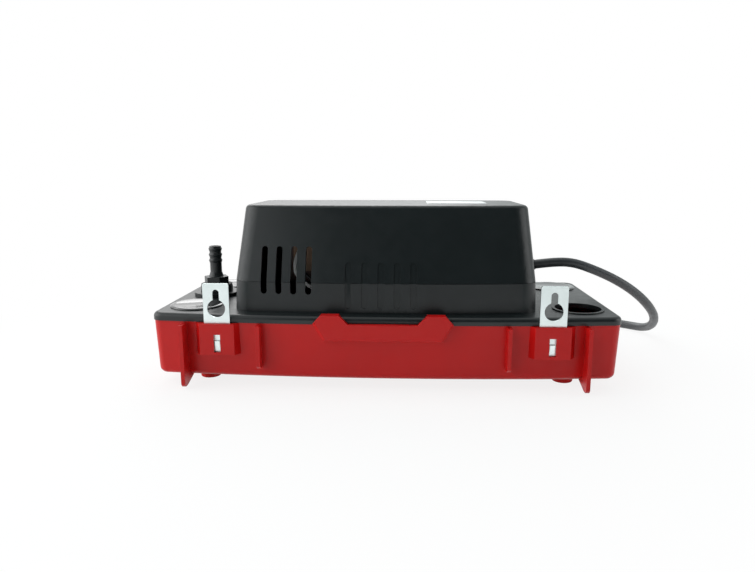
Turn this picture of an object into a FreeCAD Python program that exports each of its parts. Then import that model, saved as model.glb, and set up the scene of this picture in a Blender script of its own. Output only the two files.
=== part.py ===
"""Condensate pump: a red reservoir on four feet, a black deck with the pump and float hung under
it, a motor cover on top, two wall hangers, a barbed outlet with a check ball, and a mains cord.

Frame: +Z up, X along the length, the wall side faces -Y, origin on the floor under the centre.
Lengths are millimetres."""
import FreeCAD, Part
import math
import os
import re
import sys
import Sketcher

# Driving sizes: alias, value and what it is
SIZES = [
    ("deck_end", 60.0, "deck rim beyond the cover, at each end"),
    ("lid_side", 28.0, "deck rim corners beyond the inlets, across"),
    ("wall_bow", 8.0, "how far the long walls bow out at their middle"),
    ("lid_corner", 9.0, "plan radius of the rim corners"),
    ("lid_overhang", 0.8, "how far the rim stands out past the tank"),
    ("lid_round", 3.4, "rounding of the rim's upper edge"),
    ("lid_wall", 2.5, "thickness of the deck plate"),
    ("skirt_wall", 3.0, "thickness of the rim"),
    ("foot_height", 8.0, "height of a foot"),
    ("foot_radius", 7.9, "radius of a foot"),
    ("foot_inset", 36.5, "feet in from the rim, along the length"),
    ("foot_setback", 24.4, "feet in from the rim, across"),
    ("tank_depth", 42.5, "outside height of the tank"),
    ("lid_depth", 5.9, "height of the rim"),
    ("tank_wall", 2.5, "wall of the tank"),
    ("tank_draft", 1.5, "how much smaller the tank is at its bottom"),
    ("tank_corner", 7.5, "plan radius of the tank corners"),
    ("tank_round", 5.0, "rounding of the tank's bottom edge"),
    ("locating_depth", 4.0, "depth of the deck's inner locating rib"),
    ("locating_wall", 2.0, "wall of the locating rib"),
    ("slip_gap", 0.3, "clearance between pieces that slip together"),
    ("wall_reach", 4.0, "deck rim to the wall that the pump hangs on"),
    ("fin_inset", 26.7, "fins in from the rim"),
    ("fin_wall", 3.0, "thickness of fins and ribs"),
    ("fin_floor_gap", 2.0, "fin tip above the floor"),
    ("fin_tuck", 16.0, "how far a fin runs in under the tank"),
    ("fin_nose", 2.0, "bevel of the fin's lower tip"),
    ("fin_clear", 1.0, "top of fins and ribs under the tank's upper edge"),
    ("rib_gap", 31.3, "ribs to the hangers"),
    ("rib_rise", 9.0, "lower end of a rib above the tank's underside"),
    ("latch_bottom_half", 43.5, "half the latch plate's lower edge"),
    ("latch_half", 51.5, "half the latch plate's width"),
    ("latch_drop", 12.0, "lower edge of the latch plate under the rim"),
    ("shoulder_rise", 1.0, "latch plate between its tabs, above the rim's underside"),
    ("tab_rise", 1.9, "latch tabs above the deck"),
    ("tab_outer", 45.5, "outer end of a tab's top"),
    ("tab_inner", 32.0, "inner end of a tab's top"),
    ("tab_foot", 25.5, "inner foot of a tab"),
    ("latch_bevel", 2.0, "bevel along the latch plate's lower edge"),
    ("latch_taper", 1.0, "how much the latch plate's root narrows at each end"),
    ("latch_hook", 3.2, "reach of the latch tabs over the rim"),
    ("hanger_inset", 52.7, "hangers in from the rim"),
    ("hanger_width", 19.5, "width of a hanger strip"),
    ("hanger_sheet", 1.2, "thickness of a hanger strip"),
    ("hanger_rise", 23.9, "top of a hanger above the deck, at rest"),
    ("keyhole_rise", 5.1, "centre of the keyhole's round part above the deck"),
    ("keyhole_radius", 6.7, "round part of the keyhole"),
    ("keyhole_slot", 2.4, "half the width of the keyhole's neck"),
    ("keyhole_reach", 14.2, "top of the keyhole's neck above that centre"),
    ("hanger_corner", 1.2, "rounding of a hanger's corners"),
    ("hanger_gap", 0.25, "clearance round a hanger in its pocket"),
    ("hanger_travel", 5.0, "how far a hanger slides up in its pocket"),
    ("pocket_depth", 24.0, "depth of a hanger pocket under the rim"),
    ("pocket_floor", 1.5, "floor of a hanger pocket"),
    ("pocket_wall", 2.0, "outer wall of a hanger pocket"),
    ("pocket_half", 13.0, "half the width of a pocket's face"),
    ("pocket_bevel", 4.0, "run of a pocket's bevelled sides"),
    ("window_half", 2.5, "half the width of a pocket's window"),
    ("window_rise", 2.0, "pocket's window above its lower face"),
    ("window_height", 13.5, "height of the pocket's window"),
    ("tongue_half", 1.9, "half the width of the hanger's tongue"),
    ("tongue_rise", 1.5, "root of the hanger's tongue above the window's lower end"),
    ("tongue_reach", 1.4, "how far the tongue stands into the window"),
    ("inlet_inset", 26.5, "inlets in from the rim, along the length"),
    ("inlet_gap", 6.8, "inlet plugs to the outlet's flange, across"),
    ("inlet_radius", 17.5, "bore of an inlet"),
    ("inlet_rim", 2.0, "width of the raised rim round an inlet"),
    ("inlet_rise", 1.0, "height of that rim"),
    ("plug_flange", 20.5, "radius of an inlet plug"),
    ("plug_height", 1.6, "height of an inlet plug above the deck"),
    ("plug_skirt", 8.0, "depth of an inlet plug's spigot"),
    ("plug_wall", 2.2, "wall of that spigot"),
    ("plug_dish", 14.0, "radius of the shallow dish in a plug"),
    ("edge_bevel", 1.0, "bevel on the edges of feet and inlet plugs"),
    ("motor_room", 42.0, "lamination stack to the cover's end"),
    ("cover_setback", 11.0, "cover in from the rim, across"),
    ("cover_bow", 7.0, "bow of the cover's long walls at its base"),
    ("cover_corner", 14.0, "plan radius of the cover's corners"),
    ("seam_rise", 22.6, "crease round the cover above the deck"),
    ("cover_lean", 0.8, "how far the cover leans in below the crease"),
    ("seam_groove", 0.5, "width of the groove along the crease"),
    ("cover_room", 6.2, "motor shaft to the cover's underside"),
    ("end_slope", 5.5, "how far each end of the cover leans in"),
    ("fan_room", 8.0, "cooling fan to the cover, at its top"),
    ("top_bow", 5.0, "bow of the cover's long edges at its top"),
    ("top_round", 4.0, "rounding of the cover's upper edge"),
    ("cover_wall", 2.5, "wall of the cover"),
    ("vent_inset", 25.0, "first open slot in from the cover's end"),
    ("vent_pitch", 11.4, "pitch of the open slots"),
    ("vent_count", 4, "open slots"),
    ("vent_half", 2.35, "half the width of a slot"),
    ("vent_drop", 9.0, "lower end of the open slots under the crease"),
    ("vent_rise", 26.2, "upper end of the open slots above the crease"),
    ("blind_first", 26.6, "first blind slot to the middle"),
    ("blind_pitch", 12.2, "pitch of the blind slots"),
    ("blind_count", 5, "blind slots"),
    ("blind_drop", 19.0, "lower end of the blind slots under the crease"),
    ("blind_rise", 15.0, "upper end of the blind slots above the crease"),
    ("blind_depth", 0.6, "depth of the blind slots"),
    ("cover_screw_inset", 9.0, "cover screws in from the cover's ends"),
    ("cover_screw_setback", 7.5, "cover screws in from the cover's long sides"),
    ("cover_boss", 5.0, "radius of the cover's screw bosses"),
    ("screw_radius", 1.75, "radius of the small screws"),
    ("screw_head", 3.6, "radius of a small screw's head"),
    ("head_height", 2.2, "height of a small screw's head"),
    ("screw_hole", 2.0, "clearance hole for the small screws"),
    ("label_x", 57.0, "middle of the blank label, along the length"),
    ("label_half_length", 24.0, "half the label's length"),
    ("label_half_width", 20.0, "half the label's depth"),
    ("label_sheet", 0.3, "thickness of the label"),
    ("valve_inset", 28.8, "outlet in from the rim"),
    ("valve_flange", 18.7, "radius of the outlet's base flange"),
    ("valve_flange_height", 3.0, "height of that flange"),
    ("valve_ring", 13.5, "radius of the outlet's collar on the deck"),
    ("valve_ring_height", 4.9, "height of that collar"),
    ("valve_bore", 8.0, "bore of the outlet's socket"),
    ("seat_bore", 4.5, "bore of the check ball's seat"),
    ("spigot_radius", 6.5, "outside of the hose spigots"),
    ("spigot_length", 10.0, "length of the deck's hose spigot"),
    ("valve_washer", 1.7, "thickness of the outlet's sealing washer"),
    ("washer_inset", 0.5, "sealing washer in from the collar's edge"),
    ("hex_flats", 18.2, "outlet hexagon across its flats"),
    ("hex_height", 6.3, "height of the outlet hexagon"),
    ("stem_radius", 4.9, "root radius of the hose barb"),
    ("stem_height", 26.1, "length of the barb above the hexagon"),
    ("barb_radius", 5.65, "radius over the barb rings"),
    ("barb_pitch", 4.9, "pitch of the barb rings"),
    ("barb_bore", 3.6, "bore of the hose barb"),
    ("barb_root", 6.25, "radius of the barb's root on the hexagon"),
    ("barb_foot", 4.0, "height of that root"),
    ("barb_crest", 2.6, "crest of a barb ring above its lower end"),
    ("barb_back", 1.4, "height of a barb ring's upper slope"),
    ("bore_taper", 2.0, "height of the taper from the ball's room to the bore"),
    ("ball_radius", 5.0, "radius of the check ball"),
    ("ball_travel", 3.0, "lift of the check ball"),
    ("ball_room", 1.0, "clearance round the check ball"),
    ("pump_x", 12.0, "motor shaft to the middle, towards -X"),
    ("shaft_radius", 3.0, "radius of the motor shaft"),
    ("shaft_end", 1.0, "shaft above the cooling fan"),
    ("run_gap", 0.05, "running clearance of shaft and pin"),
    ("bush_radius", 6.0, "outside of the bearing bushes"),
    ("bush_length", 9.0, "length of the bearing bushes"),
    ("boss_radius", 9.0, "radius of the bearing bosses"),
    ("motor_rise", 25.6, "lamination stack above the deck"),
    ("stator_height", 22.0, "height of the lamination stack"),
    ("stator_right", 24.0, "shaft to the stack's right end"),
    ("stator_left", 62.0, "shaft to the stack's left end"),
    ("stator_half", 30.0, "half the stack's depth"),
    ("stator_window", 18.0, "half the depth of the coil window"),
    ("window_right", 28.0, "shaft to the near side of the coil window"),
    ("coil_leg", 16.0, "width of the leg that carries the coil"),
    ("rotor_radius", 14.0, "radius of the rotor"),
    ("air_gap", 0.6, "gap between rotor and stator"),
    ("rotor_inset", 1.0, "rotor shorter than the stack at each end"),
    ("bobbin_wall", 1.2, "wall of the coil bobbin"),
    ("winding_depth", 8.5, "depth of the winding"),
    ("winding_inset", 0.6, "winding in from the bobbin's flanges"),
    ("bracket_sheet", 3.0, "thickness of the bearing brackets"),
    ("bracket_half", 8.0, "half the width of the bearing brackets"),
    ("stator_screw_y", 24.0, "stack screws to the shaft"),
    ("post_y", 38.0, "motor posts to the shaft"),
    ("post_radius", 5.0, "radius of the motor posts"),
    ("fan_gap", 4.0, "cooling fan above the upper bush"),
    ("fan_height", 9.0, "height of the cooling fan"),
    ("fan_radius", 32.0, "radius of the cooling fan"),
    ("fan_blades", 8, "blades on the cooling fan"),
    ("hub_radius", 7.0, "radius of the fan's hub"),
    ("blade_wall", 1.5, "thickness of fan blades and impeller vanes"),
    ("blade_root", 1.0, "how far blades and vanes run into their hub"),
    ("volute_radius", 27.0, "radius of the volute"),
    ("volute_wall", 2.5, "wall of the volute"),
    ("strainer_lugs", 3, "lugs under the volute's bottom plate"),
    ("strainer_foot", 1.5, "height of the bottom plate's lugs on the tank floor"),
    ("volute_height", 14.0, "height of the volute"),
    ("neck_radius", 13.0, "radius of the volute's neck"),
    ("neck_wall", 2.5, "wall of that neck"),
    ("neck_flange", 21.0, "radius of the neck's flange"),
    ("shaft_room", 2.5, "clearance of the shaft in the housings"),
    ("outlet_reach", 42.0, "shaft to the end of the volute's spigot"),
    ("outlet_rise", 6.5, "volute's spigot above its underside"),
    ("strainer_sheet", 2.0, "thickness of the volute's bottom plate"),
    ("eye_radius", 8.0, "intake of the volute"),
    ("impeller_radius", 21.0, "radius of the impeller"),
    ("impeller_gap", 1.0, "clearance of the impeller in the volute"),
    ("impeller_plate", 1.6, "thickness of the impeller's disc"),
    ("impeller_vanes", 6, "vanes on the impeller"),
    ("hose_wall", 2.0, "wall of the inner hose"),
    ("hose_bend", 22.0, "bend radius of the inner hose"),
    ("float_x", 75.0, "float stem to the middle"),
    ("float_half_length", 32.0, "half the float's length"),
    ("float_half_width", 34.0, "half the float's depth"),
    ("float_gap", 3.5, "float above the tank floor, at rest"),
    ("float_height", 22.0, "height of the float"),
    ("float_round", 4.0, "rounding of the float's edges"),
    ("stem_rod", 3.0, "radius of the float stem"),
    ("guide_height", 5.0, "height of the stem guide"),
    ("guide_wall", 3.0, "wall of the stem guide"),
    ("collar_height", 2.5, "height of the stem's stop collar"),
    ("rocker_arm", 50.0, "rocker pivot to the stem"),
    ("rocker_rise", 3.4, "rocker's pivot above the switch"),
    ("rocker_sheet", 1.2, "thickness of the rocker"),
    ("rocker_half", 4.0, "half the width of the rocker"),
    ("rocker_gap", 0.4, "clearance of the rocker's hub over the switch"),
    ("plunger_arm", 10.0, "rocker pivot to the switch plunger"),
    ("plunger_radius", 1.5, "radius of the switch plunger"),
    ("plunger_gap", 0.2, "gap between rocker and plunger"),
    ("switch_length", 27.8, "length of the switch"),
    ("switch_height", 14.6, "height of the switch"),
    ("switch_half", 5.15, "half the thickness of the switch"),
    ("switch_shift", 4.0, "switch's middle beside the one between its pins"),
    ("plunger_socket", 4.0, "depth of the plunger's socket in the switch"),
    ("plunger_root", 2.0, "how far the plunger reaches down in that socket"),
    ("pin_radius", 1.5, "radius of the rocker's pin"),
    ("ear_sheet", 1.6, "thickness of the switch bracket"),
    ("ear_gap", 1.2, "switch to the bracket's ears"),
    ("ear_half", 7.0, "half the width of an ear"),
    ("ear_screw", 5.0, "bracket screws to the bracket's ears"),
    ("ear_foot", 9.0, "reach of the bracket's foot beyond its ears"),
    ("pin_end", 1.0, "rocker pin beyond the bracket's ears"),
    ("cord_radius", 4.0, "radius of the mains cord"),
    ("cord_y", 25.0, "cord exit to the middle, across"),
    ("cord_rise", 21.2, "strain relief's inner end above the deck"),
    ("cord_tilt", 8.0, "upward tilt of the strain relief"),
    ("relief_radius", 8.5, "radius of the strain relief's flange"),
    ("relief_neck", 6.2, "radius of its neck in the wall"),
    ("relief_length", 22.6, "length of the strain relief"),
    ("relief_flange", 3.0, "thickness of the strain relief's flanges"),
    ("relief_grip", 0.8, "outer flange of the relief off the cover's wall"),
    ("relief_step", 0.6, "relief's taper over its neck, at the outer flange"),
    ("relief_end", 1.0, "wall of the relief's end round the cord"),
    ("relief_depth", 6.5, "strain relief's inner end behind the cover's wall"),
    ("cord_straight", 16.0, "straight run of the cord beyond the relief"),
    ("coil_x", 85.0, "cord coil to the middle"),
    ("coil_y", 153.0, "cord coil behind the middle"),
    ("coil_radius", 48.0, "middle radius of the coil's turns"),
    ("coil_turns_high", 3, "turns on each other in the coil"),
    ("plug_x", 137.0, "back of the mains plug"),
    ("plug_length", 34.0, "length of the mains plug's body"),
    ("plug_half", 12.5, "half the width of the mains plug"),
    ("plug_thick", 19.0, "height of the mains plug"),
    ("plug_step", 2.0, "neck of the mains plug below its faces"),
    ("plug_round", 4.0, "rounding of the mains plug's long edges"),
    ("blade_pitch", 12.7, "distance between the plug's blades"),
    ("blade_length", 17.5, "length of the plug's blades"),
    ("blade_width", 6.3, "width of the plug's blades"),
    ("blade_sheet", 1.5, "thickness of the plug's blades"),
    ("earth_reach", 3.0, "earth pin beyond the blades"),
    ("earth_drop", 1.5, "earth pin's middle under the blades' lower half"),
    ("earth_radius", 2.4, "radius of the earth pin"),
    ("lead_radius", 1.3, "radius of the motor's leads"),
    ("lead_off", 1.5, "leads' middle above the bobbin"),
]
NAMES = [row[0] for row in SIZES]

# Heights that several pieces share
RIM_LOW = "(foot_height + tank_depth)"
LID_TOP = "(foot_height + tank_depth + lid_depth)"
LID_UNDER = "(foot_height + tank_depth + lid_depth - lid_wall)"
TANK_FLOOR = "(foot_height + tank_wall)"

# Sizes that follow from the driving ones: the motor sets the cover, the cover sets the deck's
# length, the inlets set its depth, and the deck sets the tank
FOLLOWING = {
    "cover_half_length": "(pump_x + stator_left + motor_room)",
    "lid_half_length": "(cover_half_length + deck_end)",
    "top_half_length": "(cover_half_length - end_slope)",
    "inlet_x": "(lid_half_length - inlet_inset)",
    "inlet_y": "(valve_flange + plug_flange + inlet_gap)",
    "lid_half_width": "(inlet_y + lid_side)",
    "wall_plane": "(lid_half_width + wall_bow + wall_reach)",
    "cover_half_width": "(lid_half_width - cover_setback)",
    "top_half_width": "(fan_radius + fan_room + cover_wall)",
    "foot_x": "(lid_half_length - foot_inset)",
    "foot_y": "(lid_half_width - foot_setback)",
    "valve_x": "(lid_half_length - valve_inset)",
    "fin_x": "(lid_half_length - fin_inset)",
    "fin_root": "(lid_half_width - fin_tuck)",
    "hanger_x": "(lid_half_length - hanger_inset)",
    "rib_x": "(hanger_x - rib_gap)",
    "rib_low": "(foot_height + rib_rise)",
    "latch_low": "(%s - latch_drop)" % RIM_LOW,
    "latch_shoulder": "(%s + shoulder_rise)" % RIM_LOW,
    "latch_top": "(%s + tab_rise)" % LID_TOP,
    "hanger_top": "(%s + hanger_rise)" % LID_TOP,
    "keyhole_height": "(%s + keyhole_rise)" % LID_TOP,
    "keyhole_top": "(keyhole_height + keyhole_reach)",
    "pocket_low": "(%s - pocket_depth)" % RIM_LOW,
    "window_low": "(pocket_low + window_rise)",
    "window_top": "(window_low + window_height)",
    "tongue_low": "(window_low + tongue_rise)",
    "cover_seam": "(%s + seam_rise)" % LID_TOP,
    "vent_first": "(cover_half_length - vent_inset)",
    "vent_low": "(cover_seam - vent_drop)",
    "vent_top": "(cover_seam + vent_rise)",
    "blind_low": "(cover_seam - blind_drop)",
    "blind_top": "(cover_seam + blind_rise)",
    "stator_low": "(%s + motor_rise)" % LID_TOP,
    "stator_top": "(stator_low + stator_height)",
    "fan_low": "(stator_top + bush_length + fan_gap)",
    "shaft_top": "(fan_low + fan_height + shaft_end)",
    "cover_top": "(shaft_top + cover_room + cover_wall)",
    "volute_low": "(%s + strainer_foot + strainer_sheet)" % TANK_FLOOR,
    "shaft_low": "(volute_low + impeller_gap)",
    "outlet_height": "(volute_low + outlet_rise)",
    "float_low": "(%s + float_gap)" % TANK_FLOOR,
    "rocker_height": "(%s + ear_sheet + switch_height + rocker_rise)" % LID_TOP,
    "rocker_hub": "(rocker_rise - rocker_gap)",
    "relief_inner": "(cover_half_length - cover_wall - relief_depth)",
    "cord_z": "(%s + cord_rise)" % LID_TOP,
}
LOWER_BRACKET = "(stator_low - bracket_sheet)"
HEX_LOW = "(%s + valve_flange_height + valve_ring_height + valve_washer)" % LID_TOP
RIM_TOP = "(%s + inlet_rise)" % LID_TOP
COVER_SCREW_X = "(cover_half_length - cover_screw_inset)"
COVER_SCREW_Y = "(cover_half_width - cover_screw_setback)"
COVER_SCREWS = [(x + COVER_SCREW_X, y + COVER_SCREW_Y) for x in ("", "-") for y in ("", "-")]
NECK_SCREW_Y = "(neck_radius + neck_flange) / 2"
PIVOT_X = "(float_x - rocker_arm)"
HOLE_Z = "(cord_z + relief_depth * tan(cord_tilt))"
PLUNGER_X = "(float_x - rocker_arm - plunger_arm)"
# The deck rim's outer face at a hanger's inner edge, and the hanger strip's two faces
RIM_AT_HANGER = ("(lid_half_width + wall_bow * (1 - ((hanger_x - hanger_width / 2) / lid_half_length) ^ 2))")
HANGER_NEAR = "(%s + hanger_gap + hanger_gap)" % RIM_AT_HANGER
HANGER_FAR = "(%s + hanger_sheet)" % HANGER_NEAR
POCKET_FACE = "(%s + hanger_gap + pocket_wall)" % HANGER_FAR

document = FreeCAD.newDocument("condensate_pump")
sheet = document.addObject("Spreadsheet::Sheet", "Sizes")
for row, (name, size, meaning) in enumerate(SIZES, start=1):
    sheet.set("A%d" % row, meaning)
    sheet.set("B%d" % row, str(size))
    sheet.setAlias("B%d" % row, name)
document.recompute()
nodes = {}


def bound(text):
    """The expression with its driving sizes pointed at the sheet and the following ones spelled out."""
    def point(word):
        name = word.group(0)
        if name in FOLLOWING:
            return bound(FOLLOWING[name])
        return "Sizes." + name if name in NAMES else name

    return re.sub(r"[a-z_]+", point, text)


def size_of(text):
    """The number that an expression of aliases comes to."""
    return float(sheet.evalExpression(bound(text)))


def keep(label, piece, at=None):
    """Name a finished sub-part and, if it is built about its own axis, put it in its place."""
    piece.Label = label
    if at:
        for axis, text in zip("xyz", at):
            if text != "0":
                piece.setExpression("Placement.Base." + axis, bound(text))
    nodes[label] = piece
    return piece


def new_body(name):
    return document.addObject("PartDesign::Body", name)


def place_point(made, line, end, across, up):
    """Tie one end of a line, or a circle's centre, to its two coordinates."""
    for direction, axis, text in (("DistanceX", -2, across), ("DistanceY", -1, up)):
        if abs(size_of(text)) < 1e-9:
            made.addConstraint(Sketcher.Constraint("PointOnObject", line, end, axis))
        else:
            index = made.addConstraint(Sketcher.Constraint(direction, -1, 1, line, end, size_of(text)))
            made.setExpression("Constraints[%d]" % index, bound(text))


def tie(made, kind, line, text):
    index = made.addConstraint(Sketcher.Constraint(kind, line, size_of(text)))
    made.setExpression("Constraints[%d]" % index, bound(text))


def polygon(made, *corners):
    """A closed outline of straight lines through (across, up) corners."""
    points = [FreeCAD.Vector(size_of(across), size_of(up), 0) for across, up in corners]
    first = made.GeometryCount
    for number, start in enumerate(points):
        made.addGeometry(Part.LineSegment(start, points[(number + 1) % len(points)]), False)
    for number, (across, up) in enumerate(corners):
        follower = first + (number + 1) % len(points)
        made.addConstraint(Sketcher.Constraint("Coincident", first + number, 2, follower, 1))
        place_point(made, first + number, 1, across, up)


def rectangle(made, left, right, low, high):
    polygon(made, (left, low), (right, low), (right, high), (left, high))


def circle(made, across, up, radius):
    centre = FreeCAD.Vector(size_of(across), size_of(up), 0)
    line = made.addGeometry(Part.Circle(centre, FreeCAD.Vector(0, 0, 1), size_of(radius)), False)
    place_point(made, line, 3, across, up)
    tie(made, "Radius", line, radius)


def slot(made, across, low, high, radius):
    """An upright slot with round ends, from its lower to its upper tip."""
    middle, half = size_of(across), size_of(radius)
    centres = (("(%s) - (%s)" % (high, radius)), ("(%s) + (%s)" % (low, radius)))
    tops = [size_of(text) for text in centres]
    normal = FreeCAD.Vector(0, 0, 1)
    upper = Part.Circle(FreeCAD.Vector(middle, tops[0], 0), normal, half)
    lower = Part.Circle(FreeCAD.Vector(middle, tops[1], 0), normal, half)
    cap = made.addGeometry(Part.ArcOfCircle(upper, 0, math.pi), False)
    left = made.addGeometry(Part.LineSegment(FreeCAD.Vector(middle - half, tops[0], 0),
                                             FreeCAD.Vector(middle - half, tops[1], 0)), False)
    base = made.addGeometry(Part.ArcOfCircle(lower, math.pi, 2 * math.pi), False)
    right = made.addGeometry(Part.LineSegment(FreeCAD.Vector(middle + half, tops[1], 0),
                                              FreeCAD.Vector(middle + half, tops[0], 0)), False)
    for first, second in ((cap, left), (left, base), (base, right), (right, cap)):
        made.addConstraint(Sketcher.Constraint("Tangent", first, 2, second, 1))
    place_point(made, cap, 3, across, centres[0])
    place_point(made, base, 3, across, centres[1])
    tie(made, "Radius", cap, radius)


def outline(made, half_x, half_y, bow, corner):
    """A rectangle whose long sides bow outwards, with round corners tangent to both sides."""
    big = "((%s) ^ 2 + (%s) ^ 2) / (2 * (%s))" % (half_x, bow, bow)
    middle = "(%s) + (%s) - (%s)" % (half_y, bow, big)
    length, radius, large, centre = (size_of(text) for text in (half_x, corner, big, middle))
    corner_x = length - radius
    corner_y = centre + math.sqrt((large - radius) ** 2 - corner_x ** 2)
    lean = math.atan2(corner_y - centre, corner_x)
    normal = FreeCAD.Vector(0, 0, 1)

    def arc(x, y, size, start, end):
        round_line = Part.Circle(FreeCAD.Vector(x, y, 0), normal, size)
        return Part.ArcOfCircle(round_line, start % (2 * math.pi), end % (2 * math.pi) or 2 * math.pi)

    made.addGeometry([
        Part.LineSegment(FreeCAD.Vector(length, -corner_y, 0), FreeCAD.Vector(length, corner_y, 0)),
        arc(corner_x, corner_y, radius, 0, lean),
        arc(0, centre, large, lean, math.pi - lean),
        arc(-corner_x, corner_y, radius, math.pi - lean, math.pi),
        Part.LineSegment(FreeCAD.Vector(-length, corner_y, 0), FreeCAD.Vector(-length, -corner_y, 0)),
        arc(-corner_x, -corner_y, radius, math.pi, math.pi + lean),
        arc(0, -centre, large, math.pi + lean, -lean),
        arc(corner_x, -corner_y, radius, -lean, 0)], False)
    first = made.GeometryCount - 8
    for number in range(8):
        follower = first + (number + 1) % 8
        made.addConstraint(Sketcher.Constraint("Tangent", first + number, 2, follower, 1))
    for line, sign in ((first, ""), (first + 4, "-")):
        made.addConstraint(Sketcher.Constraint("Vertical", line))
        place = sign + "(%s)" % half_x
        index = made.addConstraint(Sketcher.Constraint("DistanceX", -1, 1, line, 1, size_of(place)))
        made.setExpression("Constraints[%d]" % index, bound(place))
    for line, sign in ((first + 2, ""), (first + 6, "-")):
        place_point(made, line, 3, "0", sign + "(%s)" % middle)
        tie(made, "Radius", line, big)
    for number in (1, 3, 5, 7):
        tie(made, "Radius", first + number, corner)


def sketch(body, plane, offset):
    made = body.newObject("Sketcher::SketchObject", body.Name + "_sketch")
    support = [feature for feature in body.Origin.OriginFeatures if feature.Role == plane][0]
    made.AttachmentSupport = (support, [""])
    made.MapMode = "FlatFace"
    made.setExpression("AttachmentOffset.Base.z", bound(offset))
    return made


def span(body, kind, plane, low, high, *shapes):
    """A Pad or a Pocket of the shapes, from low to high along the plane's own axis."""
    offset = "-(%s)" % high if plane == "XZ_Plane" else low
    made = sketch(body, plane, offset)
    for shape, *values in shapes:
        shape(made, *values)
    before = body.Shape.Volume if body.Tip else 0.0
    feature = body.newObject("PartDesign::" + kind, body.Name + "_" + kind.lower())
    feature.Profile = made
    feature.setExpression("Length", bound("(%s) - (%s)" % (high, low)))
    feature.Reversed = kind == "Pocket"
    document.recompute()
    if kind == "Pocket" and body.Shape.Volume > before - 1e-3:
        sys.exit("a pocket of %s cuts nothing" % body.Name)
    return feature


def pad(body, plane, low, high, *shapes):
    return span(body, "Pad", plane, low, high, *shapes)


def pocket(body, plane, low, high, *shapes):
    return span(body, "Pocket", plane, low, high, *shapes)


def loft(body, kind, *sections):
    """A ruled loft through (height, half_x, half_y, bow, corner) outlines."""
    drawn = []
    for height, *shape in sections:
        drawn.append(sketch(body, "XY_Plane", height))
        outline(drawn[-1], *shape)
    feature = body.newObject("PartDesign::" + kind, body.Name + "_loft")
    feature.Profile = drawn[0]
    feature.Sections = drawn[1:]
    feature.Ruled = True
    document.recompute()
    return feature


def turned(body, *corners):
    """A solid of revolution about the body's own Z axis, from (radius, height) corners."""
    made = sketch(body, "XZ_Plane", "0")
    polygon(made, *corners)
    feature = body.newObject("PartDesign::Revolution", body.Name + "_turned")
    feature.Profile = made
    feature.ReferenceAxis = (made, ["V_Axis"])
    feature.Angle = 360
    document.recompute()
    return feature


def edges_where(shape, wanted):
    return ["Edge%d" % number for number, edge in enumerate(shape.Edges, start=1) if wanted(edge)]


def soften(body, kind, size, wanted):
    """A Fillet or Chamfer of the edges that pass the test."""
    base = body.Tip
    feature = body.newObject("PartDesign::" + kind, body.Name + "_" + kind.lower())
    feature.Base = (base, edges_where(base.Shape, wanted))
    feature.setExpression("Radius" if kind == "Fillet" else "Size", bound(size))
    document.recompute()
    return feature


def level(height):
    """A test for edges that lie flat at a height."""
    wanted = size_of(height)
    return lambda edge: abs(edge.BoundBox.ZMin - wanted) < 0.01 and abs(edge.BoundBox.ZMax - wanted) < 0.01


def ring(label, outer, inner, low, high, at=None):
    """A plain bush, washer or tube about its own axis."""
    body = new_body(label)
    turned(body, (inner, low), (outer, low), (outer, high), (inner, high))
    return keep(label, body, at)


def repeat_round(body, feature, count):
    """Copies of one feature in equal steps about the body's Z axis."""
    pattern = body.newObject("PartDesign::PolarPattern", body.Name + "_pattern")
    pattern.Originals = [feature]
    pattern.Axis = (feature.Profile[0], ["N_Axis"])
    pattern.Angle = 360
    pattern.setExpression("Occurrences", bound(count))
    body.Tip = pattern
    document.recompute()


# Casings

def make_tank():
    """The reservoir: drafted shell, wall fins and ribs, hanger pockets and two latch plates."""
    body = new_body("tank")
    top = ("lid_half_length - lid_overhang", "lid_half_width - lid_overhang", "wall_bow", "tank_corner")
    low = tuple("%s - tank_draft" % text for text in top[:2]) + top[2:]
    loft(body, "AdditiveLoft", (RIM_LOW,) + top, ("foot_height",) + low)
    soften(body, "Fillet", "tank_round", level("foot_height"))
    for sign in ("-", ""):
        middle = sign + "fin_x"
        reach = ("-wall_plane", RIM_LOW + " - fin_clear"), ("-wall_plane", "fin_floor_gap + fin_nose")
        tip = ("-wall_plane + fin_nose", "fin_floor_gap"), ("-wall_plane + 3 * fin_nose", "fin_floor_gap")
        root = ("-fin_root", "foot_height + tank_wall / 4"), ("-fin_root", "foot_height + tank_wall / 2")
        back = (("-lid_half_width", "foot_height + tank_wall / 2"),
                ("-lid_half_width", RIM_LOW + " - fin_clear"))
        pad(body, "YZ_Plane", middle + " - fin_wall / 2", middle + " + fin_wall / 2",
            (polygon,) + reach + tip + root + back)
        middle = sign + "rib_x"
        pad(body, "YZ_Plane", middle + " - fin_wall / 2", middle + " + fin_wall / 2",
            (polygon, ("-wall_plane", RIM_LOW + " - fin_clear"), ("-wall_plane", "rib_low + fin_nose"),
             ("-wall_plane + fin_nose", "rib_low"), ("-lid_half_width - wall_bow / 2", "rib_low"),
             ("-lid_half_width - wall_bow / 2", RIM_LOW + " - fin_clear")))
        make_pocket(body, sign + "hanger_x")
    for sign in ("-", ""):
        make_latch(body, sign)
    inner = ("lid_half_length - lid_overhang - tank_wall", "lid_half_width - lid_overhang - tank_wall",
             "wall_bow", "tank_corner - tank_wall")
    inner_low = tuple("%s - tank_draft" % text for text in inner[:2]) + inner[2:]
    loft(body, "SubtractiveLoft", (TANK_FLOOR,) + inner_low, (RIM_LOW,) + inner)
    keep("tank", body)


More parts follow.
